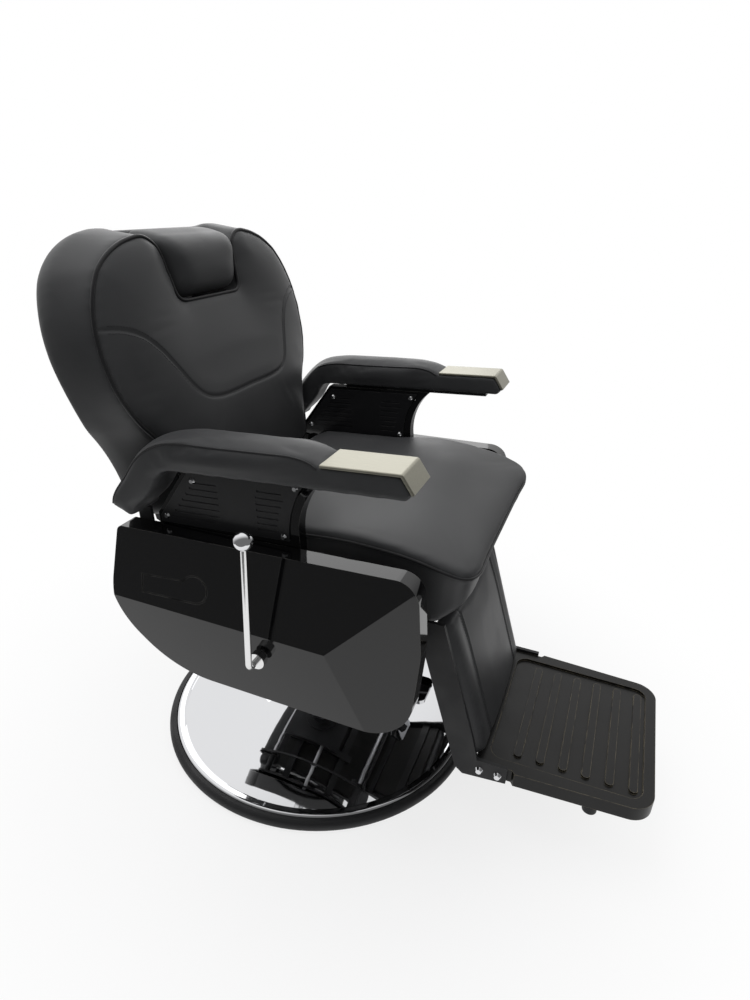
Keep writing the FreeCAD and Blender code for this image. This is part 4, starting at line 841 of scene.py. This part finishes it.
def press_line(piece, matrix, run, depth, width, front):
    """Presses a groove into a front skin along a line drawn in a leaning frame's width and height."""
    points = into(matrix, get_points(piece.data))
    near = distance_to_run(points[:, [0, 2]], run)
    points[:, 1] += depth * bell(near, width) * (points[:, 1] < front)
    set_points(piece.data, out_of(matrix, points))


# Back: one skin over cushion and rear panel

LOWER_BACK = [
    (0, -334), (184, -334), (210, -324, "round"), (224, -299), (234, -255), (250, -206, "round"), (280, -165),
]
LOWER_REAR = [
    (0, -334), (210, -334), (243, -324, "round"), (258, -299), (264, -255), (275, -204, "round"), (297, -155),
]
FRONT_LOBE = [
    (308, -110, "round"), (318, -45), (307, 25, "round"), (268, 88), (212, 119, "round"), (150, 131),
]
REAR_TOP = [
    (308, -110, "round"), (318, -50), (315, 22, "round"), (290, 92), (236, 140, "round"), (130, 156),
]
NOTCH = [(150, 131), (117, 116, "round"), (106, 92), (98, 40), (94, 23, "round"), (85, 18), (0, 18)]
BACK_SEAM = [
    (309, 0), (272, -6), (238, -21), (215, -41), (196, -66), (179, -95), (164, -121), (148, -140),
    (125, -153), (81, -159), (0, -158),
]
FRONT_DEPTH = 76
FRONT_STATIONS = (0, 8, 20, 35, 50, 65, FRONT_DEPTH, FRONT_DEPTH + 6)
# Depth and inward step of the rear panel's rounded edge
REAR_STATIONS = ((FRONT_DEPTH, 0.5), (95, 1), (106, 3), (114, 8), (120, 15), (124, 26), (125, 40))
# Near the notch the rear's wider outline fades out within so many points
NOTCH_FADE = 14
NOTCH_FADE_SIDE = 0.3

FRONT_CROWN = 20
CROWN_EDGE = 38
LUMBAR_SWELL = 18
LUMBAR_HEIGHT = -205
LUMBAR_REACH = 80
# The front face ends within the first millimetres of the boxing
FACE_END = 16
FACE_FADE = 14
# Sewn down: along the welt, behind the front and in the room for the pillow
WELT_WIDTH = 16
BEHIND_START = 4
BEHIND_FADE = 12
PILLOW_ROOM_HALF = 112
PILLOW_ROOM_FLOOR = 12
PILLOW_ROOM_FRONT = -4
BACK_SEAM_END = 303
BACK_STITCH_GAP = 4.0
BEFORE_BACK = -30.0


def ring(points, depth):
    return [(x, depth, s) for x, s in points]


def closed_loft(rings):
    """A closed mesh through rings of equal point counts, with flat ends."""
    vertices = [Vector(point) * MM for points in rings for point in points]
    return vertices, tube_faces(0, len(rings), len(rings[0]))


def moved_in(points, distance):
    """An outline moved inwards along its own normals."""
    run = np.array(points, float)
    ahead = np.roll(run, -1, 0) - np.roll(run, 1, 0)
    return [tuple(p) for p in run + sideways(ahead) * distance]


FRONT_OUTER = trace(LOWER_BACK + FRONT_LOBE)
REAR_OUTER = trace(LOWER_REAR + REAR_TOP)
NOTCH_SIDE = trace(NOTCH)
FRONT_OUTLINE = both_halves(FRONT_OUTER + NOTCH_SIDE[1:])
REAR_OUTLINE = both_halves(REAR_OUTER + trace([REAR_TOP[-1], (0, REAR_TOP[-1][1])])[1:])


def back_mesh():
    """Front slab that widens into the rear panel, joined with the rounded rear panel."""
    shift = [(b[0] - a[0], b[1] - a[1]) for a, b in zip(FRONT_OUTER, REAR_OUTER)]
    shift_x, shift_s = shift[-1]
    for k in range(1, len(NOTCH_SIDE)):
        share = max(0.0, 1 - k / NOTCH_FADE)
        shift.append((shift_x * share * NOTCH_FADE_SIDE, shift_s * share))
    right = FRONT_OUTER + NOTCH_SIDE[1:]
    front_rings = []
    for depth in FRONT_STATIONS:
        share = min(1.0, depth / FRONT_DEPTH)
        half = [(x + dx * share, s + ds * share) for (x, s), (dx, ds) in zip(right, shift)]
        front_rings.append(ring(both_halves(half), depth))
    rear_rings = [ring(moved_in(REAR_OUTLINE, inward), depth) for depth, inward in REAR_STATIONS]
    vertices, faces = closed_loft(front_rings)
    more_vertices, more_faces = closed_loft(rear_rings)
    base = len(vertices)
    faces += [tuple(base + k for k in face) for face in more_faces]
    mesh = bpy.data.meshes.new("back_upholstery")
    mesh.from_pydata(vertices + more_vertices, [], faces)
    mesh.transform(BACK)
    return mesh


def shape_back():
    """The crowned front with its lumbar swell."""
    piece = skin_of("back_upholstery", back_mesh(), voxel=6, rounds=10)
    points = into(BACK, get_points(piece.data))
    edge = distance_to_run(points[:, [0, 2]], FRONT_OUTLINE + FRONT_OUTLINE[:1])
    x, s = np.abs(points[:, 0]), points[:, 2]
    front = between(points[:, 1], FACE_END, FACE_END - FACE_FADE)
    rise = FRONT_CROWN + LUMBAR_SWELL * bell(s - LUMBAR_HEIGHT, LUMBAR_REACH)
    points[:, 1] -= front * rise * (1 - np.exp(-edge / CROWN_EDGE))
    set_points(piece.data, out_of(BACK, points))
    depth = points[:, 1]
    welt = bell(np.hypot(edge, depth), WELT_WIDTH)
    in_notch = (x < PILLOW_ROOM_HALF) & (s > PILLOW_ROOM_FLOOR) & (depth > PILLOW_ROOM_FRONT)
    behind = between(depth, BEHIND_START, BEHIND_START + BEHIND_FADE)
    stuff(piece, np.maximum(welt, np.maximum(behind, in_notch * 1.0)), cap=6)
    return piece


def sew_back(piece):
    """The stitched seam across the back, the piping round its front and the stitches beside it."""
    seam_half = smooth_run(BACK_SEAM)
    seam = np.vstack([seam_half, (seam_half * (-1, 1))[::-1]])
    refine(piece)
    press_line(piece, BACK, seam, depth=2.4, width=3.0, front=8)
    upholster(piece, "backrest", "back_cushion", "back_shell", fill=0.85)
    skin = surface_of(piece)
    welt = out_of(BACK, ring(FRONT_OUTLINE, depth=-1))
    piping("back_piping", skin, welt, "backrest", lift=1.2, radius=3.4, closed=True)
    across = sideways(np.gradient(seam, axis=0))
    for side, offset in (("above", BACK_STITCH_GAP), ("below", -BACK_STITCH_GAP)):
        row = seam - across * offset
        row = row[np.abs(row[:, 0]) < BACK_SEAM_END]
        line = out_of(BACK, [(x, BEFORE_BACK, s) for x, s in row])
        stitches(f"back_stitches_{side}", skin, line, "backrest")


# Seat

SEAT_EDGE = [
    (250, 60, 585), (250, -139, 586), (250, -205, 584), (250, -280, 575), (250, -321, 567), (250, -342, 562),
    (246, -366, 555), (232, -390, 546), (211, -407, 540), (188, -416, 534),
]
SEAT_HALF = 250.0
# The rounded front: where it starts, and its reach and squareness in the model and as upholstered
FRONT_START = -300.0
MODEL_REACH = 116.0
SEWN_REACH = 102.0
MODEL_SQUARENESS = 4.75
SEWN_SQUARENESS = 9.0
# In front of the arms the seat's edge is lifted and widened
EDGE_LIFT = 7
EDGE_WIDENING = 0.03
ARM_FRONT = -110
ARM_FRONT_FADE = 90
# The boxing leans in below the front edge
BOXING_TOP = 548
BOXING_LOWEST = 448
BOXING_LEAN = 0.24
BOXING_FADE = 80
# Sewn down: the foot of the cushion, and its sides by a share
FOOT_TOP = 500
FOOT_FADE = 60
SIDE_START = 225
SIDE_FADE = 15
SIDE_HOLD = 0.75


def rounded_size(across, ahead, squareness):
    """Size of the rounded square that goes through a point."""
    return (across ** squareness + ahead ** squareness) ** (1 / squareness)


def square_front(points):
    """Draws the seat's front back a little and fills its rounded corners."""
    points = np.array(points, float)
    across = np.abs(points[:, 0]) / SEAT_HALF
    ahead = np.clip((FRONT_START - points[:, 1]) / MODEL_REACH, 0, None)
    size_now = rounded_size(across, ahead, MODEL_SQUARENESS)
    size_wanted = rounded_size(across, ahead, SEWN_SQUARENESS)
    share = size_now / np.maximum(size_wanted, 1e-6)
    front = ahead > 0
    beyond_arms = between(points[:, 1], ARM_FRONT, ARM_FRONT - ARM_FRONT_FADE)
    points[front, 0] *= share[front]
    points[front, 1] = FRONT_START - ahead[front] * share[front] * SEWN_REACH
    points[:, 2] += EDGE_LIFT * beyond_arms * across ** 2
    below = np.clip(BOXING_TOP - points[:, 2], 0, BOXING_TOP - BOXING_LOWEST)
    at_front = between(points[:, 1], FRONT_START, FRONT_START - BOXING_FADE)
    points[:, 1] += BOXING_LEAN * below * at_front
    points[:, 0] *= 1 + EDGE_WIDENING * beyond_arms
    return points


def shape_seat():
    """The seat's cushion, sewn down round its foot and firmer at its sides."""
    piece = skin_of("seat_upholstery", copy_of_node("seat_cushion"), voxel=6, rounds=8)
    points = square_front(into(SEAT, get_points(piece.data)))
    set_points(piece.data, out_of(SEAT, points))
    top = between(points[:, 2], FOOT_TOP, FOOT_TOP + FOOT_FADE)
    sides = between(np.abs(points[:, 0]), SIDE_START, SIDE_START + SIDE_FADE)
    stuff(piece, 1 - top * (1 - SIDE_HOLD * sides), cap=5)
    return piece


def sew_seat(piece):
    """Piping along the edge of the seat's top."""
    refine(piece)
    upholster(piece, "seat_frame", "seat_cushion", fill=0.8)
    edge = smooth_run(SEAT_EDGE + [(-x, y, z) for x, y, z in reversed(SEAT_EDGE)], rounds=3)
    line = out_of(SEAT, square_front(edge))
    piping("seat_piping", surface_of(piece), line, "seat_frame", lift=1.0, radius=3.0, rounds=6)


# Arms

ARM_SEAM = [
    (-194, 738), (-184, 746), (-160, 752), (-120, 753), (-40, 753), (30, 753), (58, 751), (88, 743),
    (128, 714), (170, 667), (188, 634),
]
ARM_SIDES = {"inner": 255, "outer": 330}
REAR_LEG_LEAN = math.radians(56)
ARM_TOP_FILL = 3
REAR_LEG_FILL = 7
SEAM_RIDGE = 3
SEAM_RIDGE_WIDTH = 10
# Where, front to rear and inside to outside, the filling changes: start and end
REAR_LEG = (50, 120)
OUTER_SIDE = (272, 312)
BEHIND_CAP = (-190, -150)
# Sewn down: the underside in front of the rear leg, and the end at the cap
UNDERSIDE = (716, 708)
UNDERSIDE_END = 60
AT_CAP = (-186, -196)


def seam_of_arm(edge):
    """The seam along one top edge of the left pad; the inner one ends short of the back."""
    run = ARM_SEAM if edge == "outer" else ARM_SEAM[:-3]
    return np.array([(ARM_SIDES[edge], y, z) for y, z in smooth_run(run)])


def fill_arm(piece):
    """Fills the pad's top and rear leg out, and draws its sewn edges sharper."""
    points = into(SEAT, get_points(piece.data))
    normals = np.empty(len(points) * 3)
    piece.data.vertices.foreach_get("normal", normals)
    normals = normals.reshape(-1, 3) @ np.array(SEAT)[:3, :3]
    x, y = np.abs(points[:, 0]), points[:, 1]
    rear = between(y, *REAR_LEG)
    outer = between(x, *OUTER_SIDE)
    lean = rear * REAR_LEG_LEAN
    outward = np.clip(normals[:, 1] * np.sin(lean) + normals[:, 2] * np.cos(lean), 0, 1)
    swell = (ARM_TOP_FILL * (1 - rear) + REAR_LEG_FILL * rear * outer) * outward
    for edge in ARM_SIDES:
        gap = distance_to_run(np.c_[x, points[:, 1:]], seam_of_arm(edge))
        swell += SEAM_RIDGE * bell(gap, SEAM_RIDGE_WIDTH) * (1 - rear * (1 - outer))
    behind_cap = between(y, *BEHIND_CAP)
    points += normals * (swell * behind_cap)[:, None]
    set_points(piece.data, out_of(SEAT, points))


def shape_arm(side):
    """An arm pad, sewn down along its underside and where it meets the cap."""
    piece = skin_of(f"arm_upholstery_{side}", copy_of_node(f"arm_pad_{side}"), voxel=3.5, rounds=9)
    fill_arm(piece)
    points = into(SEAT, get_points(piece.data))
    under = between(points[:, 2], *UNDERSIDE) * (points[:, 1] < UNDERSIDE_END)
    at_cap = between(points[:, 1], *AT_CAP)
    stuff(piece, np.maximum(under, at_cap), cap=3)
    return piece


def sew_arm(piece, side, sign):
    """Seams along both edges of the pad's top."""
    refine(piece)
    upholster(piece, "seat_frame", f"arm_pad_{side}", fill=0.8)
    skin = surface_of(piece)
    for edge in ARM_SIDES:
        line = out_of(SEAT, seam_of_arm(edge) * (sign, 1, 1))
        piping(f"arm_seam_{edge}_{side}", skin, line, "seat_frame", lift=0.5, radius=1.5)


# Headrest and legrest pad

# Above its shoulder the pillow is lowered, more at its front, and widened, by shares of the height there
PILLOW_SHOULDER = 60
PILLOW_LOWERING = 0.06
PILLOW_FRONT_LOWERING = 0.12
PILLOW_WIDENING = 0.0003
PILLOW_FRONT = (70, 10)
PILLOW_HELD = (-2, 18)

LEGREST_REAR = 24.0
LEGREST_TOP = 282.0
# The flat front: half width, depth, fall towards the sides, fading edges and how far back it is cut
FLAT_HALF = 166
FLAT_DEPTH = -10
FLAT_FALL = 4
FLAT_SIDE_FADE = 10
FLAT_END_FADE = 8
FLAT_REAR = 17
# The pad stands proud by a share of its thickness, less towards its top
PROUD_SHARE = 0.1
PROUD_FADE = 82
LEGREST_WIDENING = 175 / 171
LEGREST_HELD = (8, 16)
LEGREST_SEAM = 115
HELD_SEAM = 113
HELD_SEAM_WIDTH = 10
PRESSED_HEIGHTS = (-10, 292)
STITCHED_HEIGHTS = range(6, 274, 4)
LEGREST_STITCH_GAP = 3.5
BEFORE_LEGREST = -15


def shape_headrest():
    """The pillow, drawn lower and a little wider above its shoulder."""
    piece = skin_of("headrest_upholstery", copy_of_node("headrest_pillow"), voxel=4, rounds=26)
    points = into(BACK, get_points(piece.data))
    upper = np.clip(points[:, 2] - PILLOW_SHOULDER, 0, None)
    front = between(points[:, 1], *PILLOW_FRONT)
    points[:, 2] -= upper * (PILLOW_LOWERING + PILLOW_FRONT_LOWERING * front)
    points[:, 0] *= 1 + upper * PILLOW_WIDENING
    set_points(piece.data, out_of(BACK, points))
    stuff(piece, between(points[:, 1], *PILLOW_HELD), cap=3)
    return piece


def sew_headrest(piece):
    refine(piece)
    upholster(piece, "headrest", "headrest_pillow", fill=0.85)


def shape_legrest():
    """A thick flat pad that stands proud of its bars and thins out towards the seat."""
    piece = skin_of("legrest_upholstery", copy_of_node("legrest_pad"), voxel=5, rounds=5)
    points = into(LEGPAD, get_points(piece.data))
    x, depth, height = np.abs(points[:, 0]), points[:, 1], points[:, 2]
    flat = between(x, FLAT_HALF, FLAT_HALF - FLAT_SIDE_FADE)
    flat *= between(height, 0, FLAT_END_FADE) * between(height, LEGREST_TOP, LEGREST_TOP - FLAT_END_FADE)
    flat *= depth < FLAT_REAR
    face = FLAT_DEPTH + FLAT_FALL * (x / FLAT_HALF) ** 2
    depth = depth * (1 - flat) + face * flat
    proud = between(height, LEGREST_TOP, LEGREST_TOP - PROUD_FADE)
    proud = proud * proud * (3 - 2 * proud)
    points[:, 1] = LEGREST_REAR - (LEGREST_REAR - depth) * (1 + PROUD_SHARE * proud)
    points[:, 0] *= LEGREST_WIDENING
    set_points(piece.data, out_of(LEGPAD, points))
    rear = between(points[:, 1], *LEGREST_HELD)
    seam = bell(x - HELD_SEAM, HELD_SEAM_WIDTH)
    stuff(piece, np.maximum(rear, seam), cap=2.5)
    return piece


def sew_legrest(piece):
    """Two pressed seams up the pad, each between two rows of stitches."""
    refine(piece)
    for x in (-LEGREST_SEAM, LEGREST_SEAM):
        run = [(x, height) for height in PRESSED_HEIGHTS]
        press_line(piece, LEGPAD, run, depth=1.8, width=2.6, front=14)
    upholster(piece, "legrest", "legrest_pad", fill=0.7)
    skin = surface_of(piece)
    for side, x in (("right", -LEGREST_SEAM), ("left", LEGREST_SEAM)):
        for row, shift in (("in", -LEGREST_STITCH_GAP), ("out", LEGREST_STITCH_GAP)):
            line = out_of(LEGPAD, [(x + shift, BEFORE_LEGREST, z) for z in STITCHED_HEIGHTS])
            stitches(f"legrest_stitches_{side}_{row}", skin, line, "legrest")


# Build

set_camera()
set_world()
lay_floor()
softbox("overhead_softbox", place=(0.0, 0.9, 2.9), size=2.4, watts=62, mirrored=False)
softbox("far_softbox", place=(2.3, 1.35, 1.75), size=2.5, watts=20, mirrored=True)
softbox("front_softbox", place=(-1.2, -2.8, 2.4), size=1.8, watts=17, mirrored=False)

finish_nodes()
back = shape_back()
seat = shape_seat()
arms = {side: shape_arm(side) for side in ("right", "left")}
headrest = shape_headrest()
legrest = shape_legrest()
blow_up()
sew_back(back)
sew_seat(seat)
for side, sign in (("right", -1), ("left", 1)):
    sew_arm(arms[side], side, sign)
sew_headrest(headrest)
sew_legrest(legrest)
